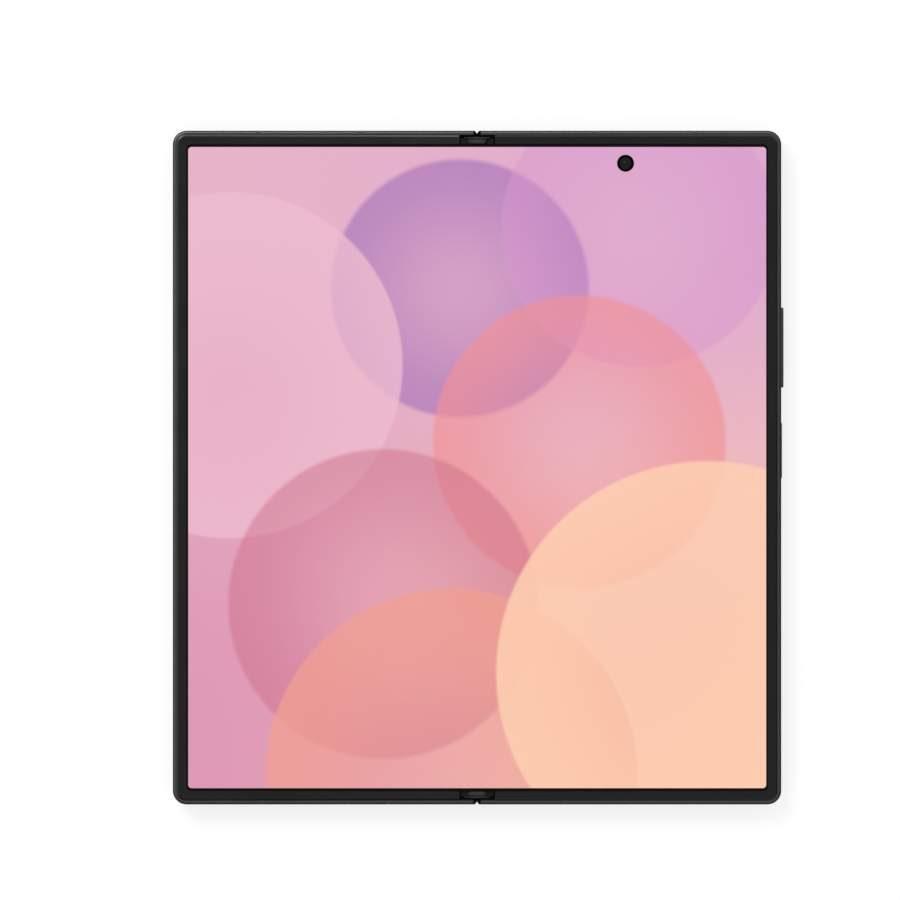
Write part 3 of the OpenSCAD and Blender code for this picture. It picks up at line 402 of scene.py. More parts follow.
class Finish:
    """A Principled material and short calls to build its nodes."""

    def __init__(self, name, **values):
        self.material = bpy.data.materials.new(name)
        self.material.use_nodes = True
        self.nodes = self.material.node_tree.nodes
        self.shader = self.nodes["Principled BSDF"]
        for socket, value in values.items():
            self.plug(self.shader, socket.replace("_", " "), value)

    def plug(self, node, socket, value):
        if isinstance(value, bpy.types.NodeSocket):
            self.material.node_tree.links.new(value, node.inputs[socket])
        else:
            node.inputs[socket].default_value = value

    def add(self, kind, inputs, out=0, **settings):
        node = self.nodes.new("ShaderNode" + kind)
        for name, value in settings.items():
            setattr(node, name, value)
        for socket, value in inputs.items():
            self.plug(node, socket, value)
        return node.outputs[out]

    def math(self, operation, *values):
        return self.add("Math", dict(enumerate(values)), operation=operation)

    def vector(self, operation, *values, out=0):
        return self.add("VectorMath", dict(enumerate(values)), out=out, operation=operation)

    def spread(self, value, low, high, to_low=0.0, to_high=1.0, smooth=False):
        kind = "SMOOTHSTEP" if smooth else "LINEAR"
        ends = {0: value, 1: low, 2: high, 3: to_low, 4: to_high}
        return self.add("MapRange", ends, interpolation_type=kind)

    def mix(self, factor, a, b):
        return self.add("Mix", {0: factor, 6: a, 7: b}, out=2, data_type="RGBA")

    def place(self, scale=(1, 1, 1)):
        """The point on the object in millimetres, stretched."""
        point = self.add("TexCoord", {}, out=3)
        return self.vector("MULTIPLY", point, [s / MM for s in scale])

    def axis(self, point, i):
        """One coordinate of a point."""
        return self.add("SeparateXYZ", {0: point}, out=i)

    def from_line(self, at):
        """How far the point on the object is from an upright line."""
        flat = self.vector("MULTIPLY", self.place(), (1, 1, 0))
        return self.vector("DISTANCE", flat, (*at, 0), out="Value")

    def over(self, share, colour):
        """Lays a colour over the base colour, by a share from 0 to 1."""
        base = self.shader.inputs["Base Color"].links[0].from_socket
        self.plug(self.shader, "Base Color", self.mix(share, base, colour))

    def noise(self, place, size, detail=3.0):
        """Noise from 0 to 1 whose grains are about size millimetres across."""
        inputs = {"Vector": place, "Scale": 1 / size, "Detail": detail, "Roughness": 0.55}
        return self.add("TexNoise", inputs)

    def bump(self, height, depth):
        """Relief of a height from 0 to 1, that deep in millimetres."""
        inputs = {"Height": height, "Strength": 1.0, "Distance": depth * MM}
        self.plug(self.shader, "Normal", self.add("Bump", inputs))

    def tint(self, colour, amount, share):
        """A colour that varies up and down by a share of itself."""
        low = [c * (1 - share) for c in colour[:3]] + [1.0]
        high = [c * (1 + share) for c in colour[:3]] + [1.0]
        return self.mix(self.spread(amount, 0.3, 0.7), low, high)


def grained(name, colour, rough, grain=0.12, relief=0.002, metal=0.0, stretch=(1, 1, 1),
            share=0.05, **values):
    """Blasted metal, moulded plastic and the like: fine grain, slow changes of tone and gloss."""
    f = Finish(name, Metallic=metal, **values)
    fine = f.noise(f.place(stretch), grain, 4.0)
    slow = f.noise(f.place(), CLOUD, 2.0)
    both = f.math("ADD", f.math("MULTIPLY", fine, 0.6), f.math("MULTIPLY", slow, 0.4))
    f.plug(f.shader, "Base Color", f.tint(colour, both, share))
    f.plug(f.shader, "Roughness", f.spread(slow, 0.3, 0.7, rough * 0.92, rough * 1.08))
    f.bump(fine, relief)
    return f


# ---------------------------------------------------------------- materials


GRAPHITE = srgb(62, 60, 62)
# Painted light: the brighter colour given to the band's upward faces, standing in for the light
# they catch
PAINTED_TOP_LIGHT = srgb(96, 93, 95)
MATTE_BLACK = srgb(8, 8, 9)
BREAK_GREY = srgb(52, 51, 53)
FOIL_GREY = srgb(60, 61, 64)
CASE_BLACK = srgb(40, 40, 42)
SOLDER_MASK = srgb(18, 58, 44)
GOLD = srgb(214, 170, 96)
OFF_BLACK = (0.002, 0.002, 0.002, 1)


def band_metal(name, front_from=FRAME_TOP - FRAME_EDGE_R):
    """Blasted dark aluminium, with painted light: the faces that look up above a height are
    painted brighter.
    """
    f = grained(name, GRAPHITE, 0.36, grain=0.09, relief=0.0016, metal=1.0)
    up = f.math("ABSOLUTE", f.axis(f.add("NewGeometry", {}, out="True Normal"), 2))
    front = f.math("GREATER_THAN", f.axis(f.place(), 2), front_from)
    # Painted light: faces that look up, above the height, are painted in the brighter colour
    f.over(f.math("MULTIPLY", f.spread(up, 0.88, 0.97, smooth=True), front), PAINTED_TOP_LIGHT)
    return f.material


# Colour, centre, radius, softness of the rim, and how full the middle and the rim are
WALLPAPER_DISCS = (
    (srgb(162, 108, 184), (-4, 42), 31, 1.6, (0.28, 0.66)),
    (srgb(216, 150, 206), (38, 56), 33, 1.2, (0.05, 0.50)),
    (srgb(238, 188, 207), (-58, 24), 41, 0.9, (0.35, 0.75)),
    (srgb(240, 144, 146), (24, 6), 35, 1.4, (0.14, 0.66)),
    (srgb(206, 110, 138), (-22, -32), 37, 1.4, (0.14, 0.56)),
    (srgb(240, 158, 142), (-6, -72), 44, 0.9, (0.30, 0.75)),
    (srgb(253, 206, 176), (54, -48), 50, 1.0, (0.45, 0.85)),
)


def wallpaper(f, place):
    """A generic picture: soft discs over a slow gradient, all in millimetres on the display."""
    across = f.spread(f.axis(place, 0), -LIT_HALF_W, LIT_HALF_W, smooth=True)
    upper = f.mix(across, srgb(230, 178, 200), srgb(222, 170, 206))
    lower = f.mix(across, srgb(222, 152, 182), srgb(251, 198, 172))
    colour = f.mix(f.spread(f.axis(place, 1), -60, 60, smooth=True), lower, upper)
    for tint, at, r, rim, (middle, full) in WALLPAPER_DISCS:
        away = f.vector("DISTANCE", place, (*at, 0), out="Value")
        inside = f.spread(away, r - rim, r, 1.0, 0.0, smooth=True)
        body = f.spread(away, 0.0, r, middle, full, smooth=True)
        colour = f.mix(f.math("MULTIPLY", inside, body), colour, tint)
    return colour


def display(name, from_uv=False):
    """The lit display: a picture on the front face, dark at the border and round the camera.
    A strip across the hinge reads its place at rest from its UV map."""
    f = Finish(name, Base_Color=OFF_BLACK, Roughness=0.16, Specular_IOR_Level=0.18,
               Emission_Strength=1.0)
    if from_uv:
        place = f.add("UVMap", {}, uv_map="rest_place")
        facing = 1.0
    else:
        point = f.place()
        place = f.vector("MULTIPLY", point, (1, 1, 0))
        facing = f.math("GREATER_THAN", f.axis(point, 2), PANEL_TOP - 0.02)
    corner = (LIT_HALF_W - LIT_CORNER_R, LIT_HALF_H - LIT_CORNER_R, 0)
    middle = f.vector("SUBTRACT", place, (LIT_X, 0, 0))
    beyond = f.vector("SUBTRACT", f.vector("ABSOLUTE", middle), corner)
    beyond = f.vector("LENGTH", f.vector("MAXIMUM", beyond, (0, 0, 0)), out="Value")
    lit = f.spread(beyond, LIT_CORNER_R - LIT_BLUR, LIT_CORNER_R + LIT_BLUR, 1.0, 0.0)
    hole = f.vector("DISTANCE", place, (*PUNCH_AT, 0), out="Value")
    hole = f.spread(hole, PUNCH_RIM_R - LIT_BLUR, PUNCH_RIM_R + LIT_BLUR)
    lit = f.math("MULTIPLY", f.math("MULTIPLY", lit, hole), facing)
    picture = f.mix(lit, (0, 0, 0, 1), wallpaper(f, place))
    f.plug(f.shader, "Emission Color", picture)
    return f.material


def clear_glass(name, ior, tint=(1, 1, 1, 1)):
    f = Finish(name, Base_Color=tint, Roughness=0.01, Transmission_Weight=1.0, IOR=ior)
    f.bump(f.noise(f.place(), 2.5, 1.0), 0.0001)
    return f.material


def coated(name, face, rim, specular):
    """Front lens of a camera: dark, with a tint that turns towards its rim."""
    f = Finish(name, Roughness=0.05, Specular_IOR_Level=specular)
    edge = f.add("LayerWeight", {"Blend": 0.35}, out="Facing")
    f.plug(f.shader, "Base Color", f.mix(edge, face, rim))
    f.bump(f.noise(f.place(), 1.5, 1.0), 0.0002)
    return f.material


def board(name):
    """Solder mask with tracks and gold pads."""
    f = Finish(name, Roughness=0.35)
    place = f.place()
    cells = f.add("TexVoronoi", {"Vector": place, "Scale": 1.4}, distance="CHEBYCHEV")
    pads = f.math("LESS_THAN", cells, 0.22)
    tracks = f.add("TexWave", {"Vector": place, "Scale": 0.9, "Distortion": 6.0, "Detail": 1.0})
    copper = [c * 1.5 for c in SOLDER_MASK[:3]] + [1]
    colour = f.mix(f.spread(tracks, 0.6, 0.8), SOLDER_MASK, copper)
    f.plug(f.shader, "Base Color", f.mix(pads, colour, GOLD))
    f.plug(f.shader, "Metallic", pads)
    f.bump(f.math("ADD", pads, tracks), 0.01)
    return f.material


def winding(name, at):
    """Copper wire wound flat round a point."""
    f = Finish(name, Metallic=1.0, Roughness=0.3)
    tone = f.spread(f.math("PINGPONG", f.from_line(at), 0.25), 0.0, 0.12)
    f.plug(f.shader, "Base Color", f.mix(tone, srgb(96, 48, 24), srgb(214, 134, 84)))
    f.bump(tone, 0.05)
    return f.material


def foil(name):
    """Crinkled wrap of a battery."""
    f = Finish(name, Metallic=0.2, Roughness=0.42)
    cells = {"Vector": f.place(), "Scale": 0.12}
    creases = f.add("TexVoronoi", cells, feature="DISTANCE_TO_EDGE")
    fine = f.noise(f.place(), 1.5)
    f.plug(f.shader, "Base Color", f.tint(FOIL_GREY, fine, 0.1))
    f.bump(f.math("ADD", f.spread(creases, 0, 0.1), fine), 0.02)
    return f.material


def paint_nodes():
    """Gives every carried CAD node its material."""
    steel = dict(metal=1.0, stretch=(1, 14, 1), share=0.08)
    finishes = {
        "main_frame": band_metal("band_right"),
        "cover_frame": band_metal("band_left"),
        "hinge_cover": grained("spine_metal", GRAPHITE, 0.42, metal=1.0, grain=0.1).material,
        "sim_tray": grained("tray_metal", GRAPHITE, 0.4, metal=1.0, grain=0.09).material,
        "antenna_breaks_main": grained("break_plastic_r", BREAK_GREY, 0.5).material,
        "antenna_breaks_cover": grained("break_plastic_l", BREAK_GREY, 0.5).material,
        "display_right": display("display_lit_r"),
        "display_left": display("display_lit_l"),
        "rear_glass": grained("satin_glass", srgb(46, 46, 49), 0.28, grain=0.05, relief=0.0006,
                              share=0.03, Coat_Weight=0.25, Coat_Roughness=0.25).material,
        "cover_glass": clear_glass("outer_glass", 1.3),
        "logic_board": board("board_main"),
        "sub_board": board("board_sub"),
        "cover_board": board("board_cover"),
        "charging_coil": winding("coil_copper", COIL_AT),
        "battery_main": foil("battery_wrap_r"),
        "battery_cover": foil("battery_wrap_l"),
        "shield_cans": grained("can_metal", srgb(196, 197, 200), 0.32, **steel).material,
        "speaker_main": grained("speaker_case", CASE_BLACK, 0.55, grain=0.3).material,
        "earpiece_speaker": grained("earpiece_case", CASE_BLACK, 0.55, grain=0.3).material,
        "vibration_motor": grained("motor_case", srgb(150, 151, 155), 0.35, **steel).material,
        "sim_reader": grained("reader_steel", srgb(178, 180, 184), 0.3, **steel).material,
        "usb_shell": grained("usb_steel", srgb(150, 150, 154), 0.3, **steel).material,
        "usb_tongue": grained("usb_plastic", srgb(24, 24, 26), 0.5).material,
        "microphones": grained("mic_can", srgb(200, 184, 140), 0.35, metal=1.0).material,
    }
    plain_steel = grained("machined_steel", srgb(170, 172, 176), 0.33, **steel).material
    dark_steel = grained("sintered_steel", srgb(96, 97, 100), 0.45, metal=1.0).material
    for name, node in NODES.items():
        if name in finishes:
            material = finishes[name]
        elif name.startswith(("sync_arms", "hinge_brackets", "switch_bracket", "side_switches")):
            material = dark_steel
        else:
            material = plain_steel
        node.data.materials.clear()
        node.data.materials.append(material)


# ---------------------------------------------------------------- bezels


def half_path(inset, r, x_end):
    """Open line along the right half, drawn in by inset, from its top end to its bottom end."""
    x, y = HALF_W - inset, HALF_H - inset
    line = [(x_end, y)]
    line += [(x - r + px, y - r + py) for px, py in arc(90, 0, CORNER_STEPS, r)]
    line += [(x - r + px, r - y + py) for px, py in arc(0, -90, CORNER_STEPS, r)]
    return line + [(x_end, -y)]


def bezel_section(shrink=0.0):
    """Closed section of the bezel as (inset, height): a lip on the frame's inner edge, a
    shoulder that rises from it, and a raised face with a square edge at the display."""
    s = shrink
    top = BEZEL_TOP - s
    foot = [(BEZEL_OUT + s, BEZEL_LOW), (BEZEL_OUT + s, FRAME_TOP - LIP_DROP)]
    shoulder = [(LIP_IN + x + s, FRAME_TOP + z - s) for x, z in SHOULDER]
    face = [(LIP_IN + x + s, top) for x in FLAT_FROM] + [(BEZEL_IN - s, top)]
    return foot + shoulder + face + [(BEZEL_IN - s, BEZEL_LOW)]


def bezel(name, side, material, body, node):
    """The raised border of one half, with rounded ends at the hinge caps; side is 1 for the
    right half and -1 for the left."""
    rings = []
    for x, y in arc(0, 90, 4):
        rings.append((BEZEL_END + BEZEL_END_R * (1 - y), BEZEL_END_R * (1 - x)))
    rings.sort()
    ends = [(x, BEZEL_END_R - s) for x, s in rings]
    loops = []
    for x_end, shrink in ends:
        loops.append([(x_end, HALF_H - i, z) for i, z in bezel_section(shrink)])
    lines = []
    for inset, z in bezel_section():
        share = (inset - BEZEL_OUT) / (BEZEL_IN - BEZEL_OUT)
        r = BEZEL_OUT_R + (BEZEL_IN_R - BEZEL_OUT_R) * share
        lines.append([(x, y, z) for x, y in half_path(inset, r, BEZEL_END)[1:-1]])
    loops += [[line[i] for line in lines] for i in range(len(lines[0]))]
    for x_end, shrink in reversed(ends):
        loops.append([(x_end, i - HALF_H, z) for i, z in bezel_section(shrink)])
    verts, faces = loft(loops)
    shell = ([(side * x, y, z) for x, y, z in verts], faces)
    piece(name, [shell], body, [node], node, material, sharp=50)


def add_bezels():
    plastic = grained("bezel_plastic", MATTE_BLACK, 0.3, grain=0.16, relief=0.0015,
                      Specular_IOR_Level=0.5).material
    bezel("bezel_right", 1, plastic, "main_half", "main_bezel")
    bezel("bezel_left", -1, plastic, "cover_half", "cover_bezel")


# ---------------------------------------------------------------- pieces across the hinge


def strip(name, side, line, y0, y1, material, node, under=None):
    """A strip across the hinge: line is its outline as (x, low z, high z) from the middle out.
    Its sides and underside may have a material of their own."""
    loops = []
    for x, low, high in line:
        loops.append([(side * x, y0, low), (side * x, y1, low),
                      (side * x, y1, high), (side * x, y0, high)])
    obj = piece(name, [loft(loops)], None, [node], node, material)
    mesh = obj.data
    uv = mesh.uv_layers.new(name="rest_place")
    for loop in mesh.loops:
        co = mesh.vertices[loop.vertex_index].co
        uv.data[loop.index].uv = (co.x / MM, co.y / MM)
    if under:
        mesh.materials.append(under)
        for face in mesh.polygons:
            face.material_index = int(face.normal.z < 0.5)
    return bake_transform(obj)


def add_bending_pieces():
    """The bending part of the display and the flat cable, each split on the hinge's middle."""
    lit = display("display_lit_fold", from_uv=True)
    film = grained("panel_film", srgb(22, 22, 24), 0.5, grain=0.2, relief=0.001).material
    flat = [(FOLD_HALF * i / FOLD_STEPS, PANEL_LOW, PANEL_TOP) for i in range(FOLD_STEPS + 1)]
    for side, end in ((1, "right"), (-1, "left")):
        strip("display_fold_" + end, side, flat, -PANEL_HALF_H, PANEL_HALF_H, lit,
              "display_fold", film)
    add_flex()


def add_flex():
    """Flat cable with an amber cover film, from board to board through the spine."""
    film = grained("flex_film", srgb(120, 72, 34), 0.4, grain=0.5, relief=0.004).material
    low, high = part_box("hinge_flex")
    y0, y1 = low.y / MM, high.y / MM
    points = list(FLEX_LINE)
    points += [(FLEX_REACH + FLEX_STEP * i, FLEX_RUN) for i in range(1, 15)]
    points.append((high.x / MM, FLEX_RUN))
    line = [(x, z, z + FLEX_T) for x, z in points]
    for side, end in ((1, "right"), (-1, "left")):
        strip("hinge_flex_" + end, side, line, y0, y1, film, "hinge_flex")


# ---------------------------------------------------------------- hinge caps


def add_hinge_caps():
    """Black block with a lighter T on it, at each end of the hinge; the T is painted darker
    towards its ends, as painted shade.
    """
    black = grained("cap_plastic", srgb(13, 13, 13), 0.5, Specular_IOR_Level=0.25).material
    grey = grained("tee_plastic", srgb(50, 49, 50), 0.45, Specular_IOR_Level=0.3)
    from_middle = grey.math("ABSOLUTE", grey.axis(grey.place(), 0))
    # Painted shade: the T darkens towards its ends
    grey.over(grey.spread(from_middle, *TEE_PAINTED_SHADE, smooth=True), srgb(30, 30, 31))

    def slab(half_in, half_out, y, low, high, side):
        """A block across the hinge, its width given at its inner and its outer end."""
        corners = ((-half_in, y[0]), (half_in, y[0]), (half_out, y[1]), (-half_out, y[1]))
        return prism([(x, side * v) for x, v in corners], low, high)

    for side, end in ((1, "top"), (-1, "bottom")):
        node = "hinge_cap_" + end
        floor_z = CAP_Z[1] - CAP_POCKET
        block = slab(CAP_HALF, CAP_HALF, (CAP_Y[0], TEE_Y[1]), CAP_Z[0], floor_z, side)
        shelf = slab(CAP_HALF, CAP_HALF, CAP_Y, floor_z - CAP_OVERLAP, CAP_Z[1], side)
        base = piece("cap_base_" + end, [block, shelf], "spine", [node], node, black)
        bevel(base, CAP_EDGE_R)
        bar = slab(TEE_HALF, TEE_HALF, TEE_Y, floor_z - CAP_OVERLAP, TEE_TOP, side)
        stem = slab(*STEM_HALF, STEM_Y, CAP_Z[1] - CAP_OVERLAP, TEE_TOP, side)
        tee = piece("cap_tee_" + end, [bar, stem], "spine", [node], node, grey.material)
        bevel(tee, CAP_EDGE_R)


# ---------------------------------------------------------------- keys


def key(name, node, body, material):
    """A key: oblong cap with a crowned, rounded face, on its flange."""
    low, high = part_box(node)
    out_x, mid_y = high.x / MM, (low.y + high.y) / 2 / MM
    half_l = (high.y - low.y) / 2 / MM - KEY_FLANGE_OVER
    half_h = KEY_H / 2
    back_x = KEY_BACK_X[node]
    edge = KEY_FLANGE_EDGE

    def upright(loop, x):
        return [(x, mid_y + a, KEY_Z + b) for a, b in loop]

    def oblong(x, drop):
        return upright(round_box(half_l - drop, half_h - drop, half_h - drop - 0.001), x)

    round_x = out_x - KEY_CROWN - KEY_EDGE_R
    loops = [oblong(back_x - edge, 0), oblong(round_x, 0)]
    for c, s in arc(0, 90, 6)[1:]:
        loops.append(oblong(round_x + KEY_EDGE_R * s, KEY_EDGE_R * (1 - c)))
    loops.append(oblong(out_x - KEY_CROWN * 0.4, KEY_CROWN_INSETS[0]))
    loops.append(oblong(out_x, KEY_CROWN_INSETS[1]))
    flange = [(back_x - KEY_FLANGE_T, edge), (back_x - KEY_FLANGE_T + edge, 0),
              (back_x - edge, 0), (back_x, edge)]
    plates = []
    for x, drop in flange:
        loop = round_box(half_l + KEY_FLANGE_OVER - drop, half_h - drop, KEY_FLANGE_R, 3)
        plates.append(upright(loop, x))
    piece(name, [loft(loops), loft(plates)], body, [node], node, material)


def add_keys():
    # The keys' upward faces get the same painted light as the band
    metal = band_metal("key_metal", front_from=KEY_Z)
    key("rocker", "volume_rocker", "volume_key", metal)
    key("side_key", "power_key", "power_button", metal)


# ---------------------------------------------------------------- rear cameras


def add_plateau():
    """Camera plateau with a rounded edge, holes for the lenses and the flash."""
    metal = grained("plateau_metal", GRAPHITE, 0.4, metal=1.0, grain=0.09, relief=0.0016).material
    rim = PLATEAU_HALF - PLATEAU_RIM
    rim_r = PLATEAU_R - PLATEAU_RIM
    rows = [(rim, rim_r, GLASS_TOP), (rim, rim_r, BACK_Z), (PLATEAU_HALF, PLATEAU_R, BACK_Z)]
    for c, s in arc(0, 90, 8):
        drop = PLATEAU_EDGE_R * (1 - c)
        z = PLATEAU_LOW + PLATEAU_EDGE_R * (1 - s)
        rows.append((PLATEAU_HALF - drop, PLATEAU_R - drop, z))
    loops = [at_height(round_box(half, half, r), z, PLATEAU_AT) for half, r, z in rows]
    obj = piece("plateau", [loft(loops)], None, ["camera_plateau"], "camera_plateau", metal)
    inside, inside_r = rim - PLATEAU_WALL, rim_r - PLATEAU_WALL
    hollow = [at_height(round_box(inside, inside, inside_r), z, PLATEAU_AT)
              for z in (BACK_Z, GLASS_TOP + 1)]
    holes = [turned(LENS_HOLE, at, ring=False) for at in LENSES]
    holes.append(turned(FLASH_HOLE, FLASH_AT, ring=False))
    cut(obj, [loft(hollow)])
    cut(obj, holes)
    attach(obj, "main_half")


def add_lenses():
    """Each rear camera: trim ring, clear pane, stepped barrel on its case, and front lens."""
    ring_metal = grained("ring_metal", srgb(72, 71, 73), 0.22, metal=1.0, grain=0.06,
                         relief=0.0006).material
    edge_r = LENS_RING_EDGE_R
    edge = [(LENS_RING_EDGE_AT + edge_r * c, edge_r + edge_r * s) for c, s in arc(-84, 0, 7)]
    ring = [*LENS_RING_INSIDE, *edge, *LENS_RING_OUTSIDE]
    piece("lens_trim", [turned(ring, at) for at in LENSES], "main_half", ["lens_rings"],
          "lens_rings", ring_metal)

    lets_light_in(piece("lens_panes", [turned(LENS_PANE, at, ring=False) for at in LENSES],
                        "main_half", ["lens_glasses"], "lens_glasses",
                        clear_glass("lens_glass", 1.3, (0.97, 0.98, 1, 1))))

    shells = []
    for at in LENSES:
        shells.append(turned(LENS_BARREL, at, ring=False))
        shells.append(upright_box(LENS_CASE_HALF, 0.5, LENS_CASE_Z, at))
    black = grained("barrel_plastic", srgb(16, 16, 17), 0.38, grain=0.08, relief=0.001).material
    piece("camera_barrels", shells, "main_half", ["camera_modules"], "camera_modules", black)

    coat = coated("lens_element", srgb(12, 14, 34), srgb(60, 26, 72), 0.5)
    front = dome(*LENS_DOME, 86, 10)
    piece("camera_elements", [turned(front, at, ring=False) for at in LENSES], "main_half",
          ["camera_modules"], "camera_modules", coat)


def add_flash():
    """Ribbed window over two lamps."""
    f = Finish("flash_window", Roughness=0.25, Coat_Weight=0.4)
    away = f.vector("ABSOLUTE", f.vector("SUBTRACT", f.place(), (*FLASH_AT, 0)))
    from_lamp = f.math("ABSOLUTE", f.math("SUBTRACT", f.axis(away, 0), LAMP_X))
    lamp = f.math("MULTIPLY", f.math("LESS_THAN", from_lamp, LAMP_HALF[0]),
                  f.math("LESS_THAN", f.axis(away, 1), LAMP_HALF[1]))
    f.plug(f.shader, "Base Color", f.mix(lamp, srgb(226, 224, 218), srgb(238, 214, 120)))
    f.bump(f.noise(f.place(), 0.3), 0.004)
    front, back = FLASH_Z
    ribs = [(0.15, front)]
    for i in range(1, FLASH_RIBS + 1):
        r = FLASH_RIB_PITCH * i
        ribs += [(r - 0.05, front + 0.04), (r, front - 0.04), (r + 0.16, front)]
    ribs += [(FLASH_R - 0.1, front - 0.05), (FLASH_R, front + 0.05), (FLASH_R, back), (0.15, back)]
    piece("flash_lens", [turned(ribs, FLASH_AT, SMALL_STEPS, ring=False)], "main_half",
          ["flash_window"], "flash_window", f.material)


def add_inner_camera():
    """What shows through the round hole in the display."""
    pane = turned(INNER_PANE, PUNCH_AT, SMALL_STEPS, ring=False)
    lets_light_in(piece("inner_pane", [pane], "main_half", ["inner_camera_window"],
                        "inner_camera_window", clear_glass("inner_glass", 1.04)))
    dark = grained("inner_barrel", srgb(33, 33, 35), 0.9, grain=0.1, relief=0.0003,
                   Specular_IOR_Level=0.02)
    dark.over(dark.spread(dark.from_line(PUNCH_AT), *INNER_RIM), (0.0005, 0.0005, 0.0005, 1))
    barrel = turned(INNER_BARREL, PUNCH_AT, SMALL_STEPS, ring=False)
    case = upright_box(INNER_CASE_HALF, 0.5, INNER_CASE_Z, PUNCH_AT)
    piece("inner_barrel", [barrel, case], "main_half", ["inner_camera"], "inner_camera",
          dark.material)
    front = turned(dome(*INNER_DOME), PUNCH_AT, DOME_STEPS, ring=False)
    piece("inner_element", [front], "main_half", ["inner_camera"], "inner_camera",
          coated("inner_lens", srgb(24, 24, 30), srgb(34, 28, 44), 0.25))


def add_outer_display():
    """The dark outer display behind its glass, with a hole for the camera."""
    f = Finish("outer_display", Roughness=0.3, Specular_IOR_Level=0.0)
    place = f.vector("ABSOLUTE", f.vector("ADD", f.place(), (OUTER_LIT_X, 0, 0)))
    active = f.math("MULTIPLY", f.math("LESS_THAN", f.axis(place, 0), OUTER_LIT_HALF[0]),
                    f.math("LESS_THAN", f.axis(place, 1), OUTER_LIT_HALF[1]))
    f.plug(f.shader, "Base Color", f.mix(active, OFF_BLACK, (0.006, 0.006, 0.008, 1)))
    f.bump(f.noise(f.place(), 0.05), 0.0004)
    outline = [(-x, y) for x, y in half_path(OUTER_INSET, OUTER_CORNER_R, OUTER_END)]
    obj = piece("outer_display", [prism(outline, *OUTER_Z)], None, ["cover_panel"],
                "cover_panel", f.material)
    cut(obj, [turned(OUTER_HOLE, OUTER_CAMERA, ring=False)])
    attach(obj, "cover_half")

    low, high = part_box("cover_camera")
    shells = [turned(OUTER_RING, OUTER_CAMERA, SMALL_STEPS),
              upright_box(OUTER_CASE_HALF, 0.4, (high.z / MM, OUTER_CASE_LOW), OUTER_CAMERA)]
    black = grained("outer_barrel", srgb(34, 34, 36), 0.4, grain=0.08, relief=0.0005,
                    Specular_IOR_Level=0.2).material
    piece("outer_camera_barrel", shells, "cover_half", ["cover_camera"], "cover_camera", black)
    front = turned(dome(*OUTER_DOME), OUTER_CAMERA, DOME_STEPS, ring=False)
    piece("outer_camera_lens", [front], "cover_half", ["cover_camera"], "cover_camera",
          coated("outer_lens", srgb(12, 14, 30), srgb(50, 26, 62), 0.5))
    lets_light_in(NODES["cover_glass"])


def add_usb_contacts():
    """Gold contacts on both faces of the connector's tongue."""
    gold = grained("contact_gold", srgb(226, 178, 92), 0.25, metal=1.0).material
    low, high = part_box("usb_tongue")
    mid = (low.x + high.x) / 2 / MM
    y0, y1 = (low.y / MM + y for y in CONTACT_FROM_END)
    faces = ((high.z / MM - CONTACT_SUNK, high.z / MM + CONTACT_PROUD),
             (low.z / MM - CONTACT_PROUD, low.z / MM + CONTACT_SUNK))
    shells = []
    for i in range(CONTACTS):
        x = mid + (i - (CONTACTS - 1) / 2) * CONTACT_PITCH
        x0, x1 = x - CONTACT_HALF_W, x + CONTACT_HALF_W
        shells += [prism([(x0, y0), (x1, y0), (x1, y1), (x0, y1)], *z) for z in faces]
    piece("usb_contacts", shells, "main_half", (), "usb_tongue", gold)


def add_seals():
    """Black bead round the back glass of each half, and a pad at each end of the seam between
    the halves."""
    rubber = grained("seal_rubber", srgb(12, 12, 12), 0.7, Specular_IOR_Level=0.2).material
    (low, high), (outer, inner) = BEAD_Z, BEAD_INSET
    section = [(outer, low), (outer, high), (inner, high), (inner, low)]
    lines = [[(x, y, z) for x, y in half_path(inset, CORNER_R - inset, BEAD_END)]
             for inset, z in section]
    band = [[line[i] for line in lines] for i in range(len(lines[0]))]
    x0, x1 = BAR_X
    edge = [(x0, -BAR_HALF), (x1, -BAR_HALF), (x1, BAR_HALF), (x0, BAR_HALF)]
    for side, end, body, slot in ((1, "right", "main_half", "rear_glass"),
                                  (-1, "left", "cover_half", "cover_glass")):
        loops = [[(side * x, y, z) for x, y, z in loop] for loop in band]
        bar = prism([(side * x, y) for x, y in edge], low, high)
        piece("glass_seal_" + end, [loft(loops), bar], body, (), slot, rubber)
    (x0, x1), (y0, y1) = PAD_X, PAD_Y
    corners = ((x0, y0), (x1, y0), (x1, y1), (x0, y1))
    pads = [prism([(x, side * y) for x, y in corners], *PAD_Z) for side in (1, -1)]
    piece("seam_pads", pads, "cover_half", (), "cover_frame", rubber)


# ---------------------------------------------------------------- stage


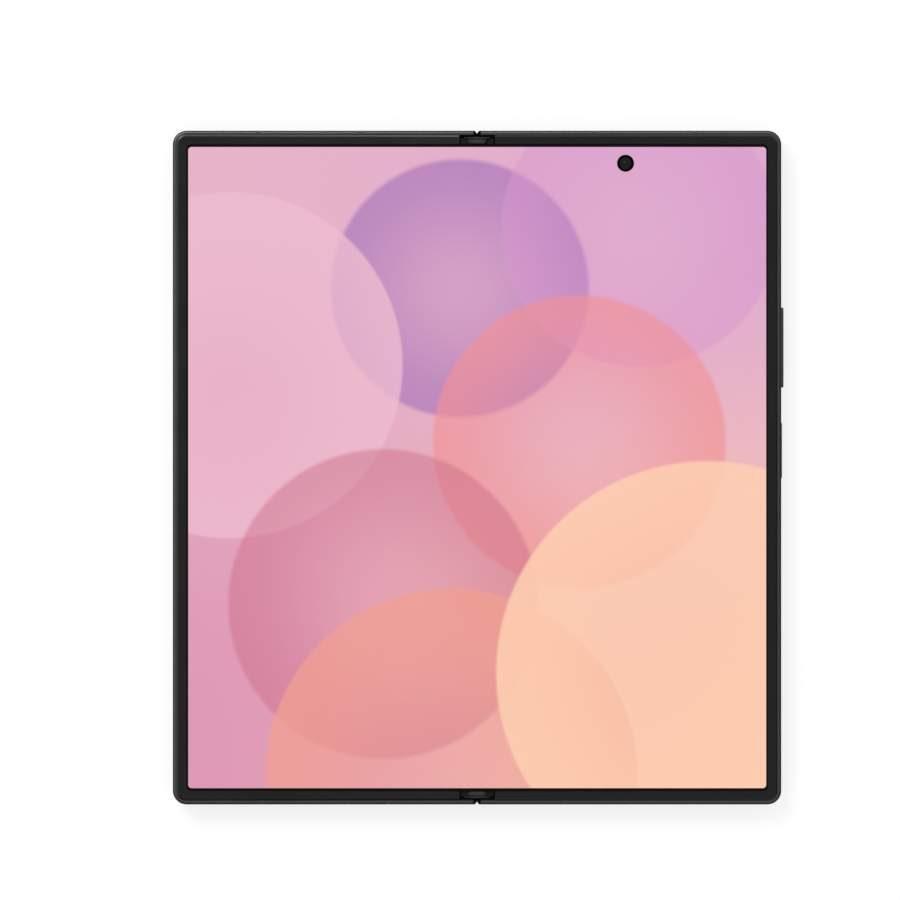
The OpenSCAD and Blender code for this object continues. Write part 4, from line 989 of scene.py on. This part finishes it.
def add_floor():
    """Plain pale floor: shows the object's shadow, and is clear from below."""
    mesh = bpy.data.meshes.new("floor")
    signs = ((-1, -1), (1, -1), (1, 1), (-1, 1))
    mesh.from_pydata([(x * FLOOR_HALF, y * FLOOR_HALF, 0) for x, y in signs], [], [(0, 1, 2, 3)])
    floor = bpy.data.objects.new("floor", mesh)
    floor.location.z = FLOOR_Z
    bpy.context.scene.collection.objects.link(floor)
    f = Finish("floor_paint", Base_Color=(0.34, 0.34, 0.34, 1), Roughness=1.0,
               Specular_IOR_Level=0.0, Emission_Color=(1, 1, 1, 1), Emission_Strength=0.74)
    out = f.nodes["Material Output"]
    back = f.add("NewGeometry", {}, out="Backfacing")
    clear = f.add("BsdfTransparent", {})
    both = f.add("MixShader", {0: back, 1: f.shader.outputs[0], 2: clear})
    f.plug(out, "Surface", both)
    mesh.materials.append(f.material)
    floor.visible_diffuse = False
    floor.visible_glossy = False
    floor.visible_shadow = False
    floor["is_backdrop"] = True


def add_world():
    """White backdrop; for reflections a studio, dim overhead and brighter at the upper left."""
    world = bpy.data.worlds.new("studio")
    world.use_nodes = True
    bpy.context.scene.world = world
    nodes, links = world.node_tree.nodes, world.node_tree.links
    nodes.clear()

    def add(kind, inputs, out=0, **settings):
        node = nodes.new("ShaderNode" + kind)
        for name, value in settings.items():
            setattr(node, name, value)
        for socket, value in inputs.items():
            if isinstance(value, bpy.types.NodeSocket):
                links.new(value, node.inputs[socket])
            else:
                node.inputs[socket].default_value = value
        return node.outputs[out]

    def ramp(value, ends, kind="SMOOTHSTEP"):
        return add("MapRange", dict(enumerate((value, *ends))), interpolation_type=kind)

    way = add("TexCoord", {}, out=0)
    height = add("SeparateXYZ", {0: way}, out=2)
    along = add("VectorMath", {0: way, 1: LIGHT_WAY}, out="Value", operation="DOT_PRODUCT")
    low = ramp(along, LOW_LIGHT, "LINEAR")
    raised = ramp(along, RAISED_LIGHT)
    sides = add("Mix", {0: ramp(height, RAISED), 2: low, 3: raised})
    above = add("Mix", {0: ramp(height, OVERHEAD), 2: sides, 3: OVERHEAD_LIGHT})
    under = ramp(along, UNDER_LIGHT, "LINEAR")
    studio = add("Mix", {0: ramp(height, SUNK), 2: above, 3: under})
    path = nodes.new("ShaderNodeLightPath").outputs
    seen = add("Math", {0: path["Is Camera Ray"], 1: path["Is Transmission Ray"]},
               operation="MAXIMUM")
    lit = add("Mix", {0: path["Is Glossy Ray"], 2: SOFT_LIGHT, 3: studio})
    strength = add("Mix", {0: seen, 2: lit, 3: 1.0})
    background = add("Background", {"Color": (1, 1, 1, 1), "Strength": strength})
    output = nodes.new("ShaderNodeOutputWorld")
    links.new(background, output.inputs["Surface"])


def add_lamp(name, way, distance, size, power):
    """A square soft lamp that faces the phone."""
    data = bpy.data.lights.new(name, "AREA")
    data.shape = "SQUARE"
    data.size = size
    data.energy = power
    lamp = bpy.data.objects.new(name, data)
    bpy.context.scene.collection.objects.link(lamp)
    lamp.location = Vector(way).normalized() * distance
    lamp.rotation_euler = Vector(way).to_track_quat("Z", "Y").to_euler()


def add_camera():
    """Straight above, a little left of and above the middle, as in the photograph."""
    data = bpy.data.cameras.new("camera")
    data.lens = CAMERA_LENS
    data.sensor_width = CAMERA_SENSOR
    data.clip_end = 20.0
    camera = bpy.data.objects.new("camera", data)
    bpy.context.scene.collection.objects.link(camera)
    distance = VIEW_W * CAMERA_LENS / CAMERA_SENSOR
    camera.location = (VIEW_AT[0] * MM, VIEW_AT[1] * MM, (PANEL_TOP + distance) * MM)
    bpy.context.scene.camera = camera


def set_size_file():
    boxes = [[list(corner) for corner in box] for box in (CAD_BOX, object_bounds())]


paint_nodes()
add_bezels()
add_bending_pieces()
add_hinge_caps()
add_keys()
add_plateau()
add_lenses()
add_flash()
add_inner_camera()
add_outer_display()
add_usb_contacts()
add_seals()

add_floor()
add_world()
for lamp in LAMPS:
    add_lamp(*lamp)
add_camera()
bpy.context.scene.view_settings.view_transform = "Standard"

set_size_file()
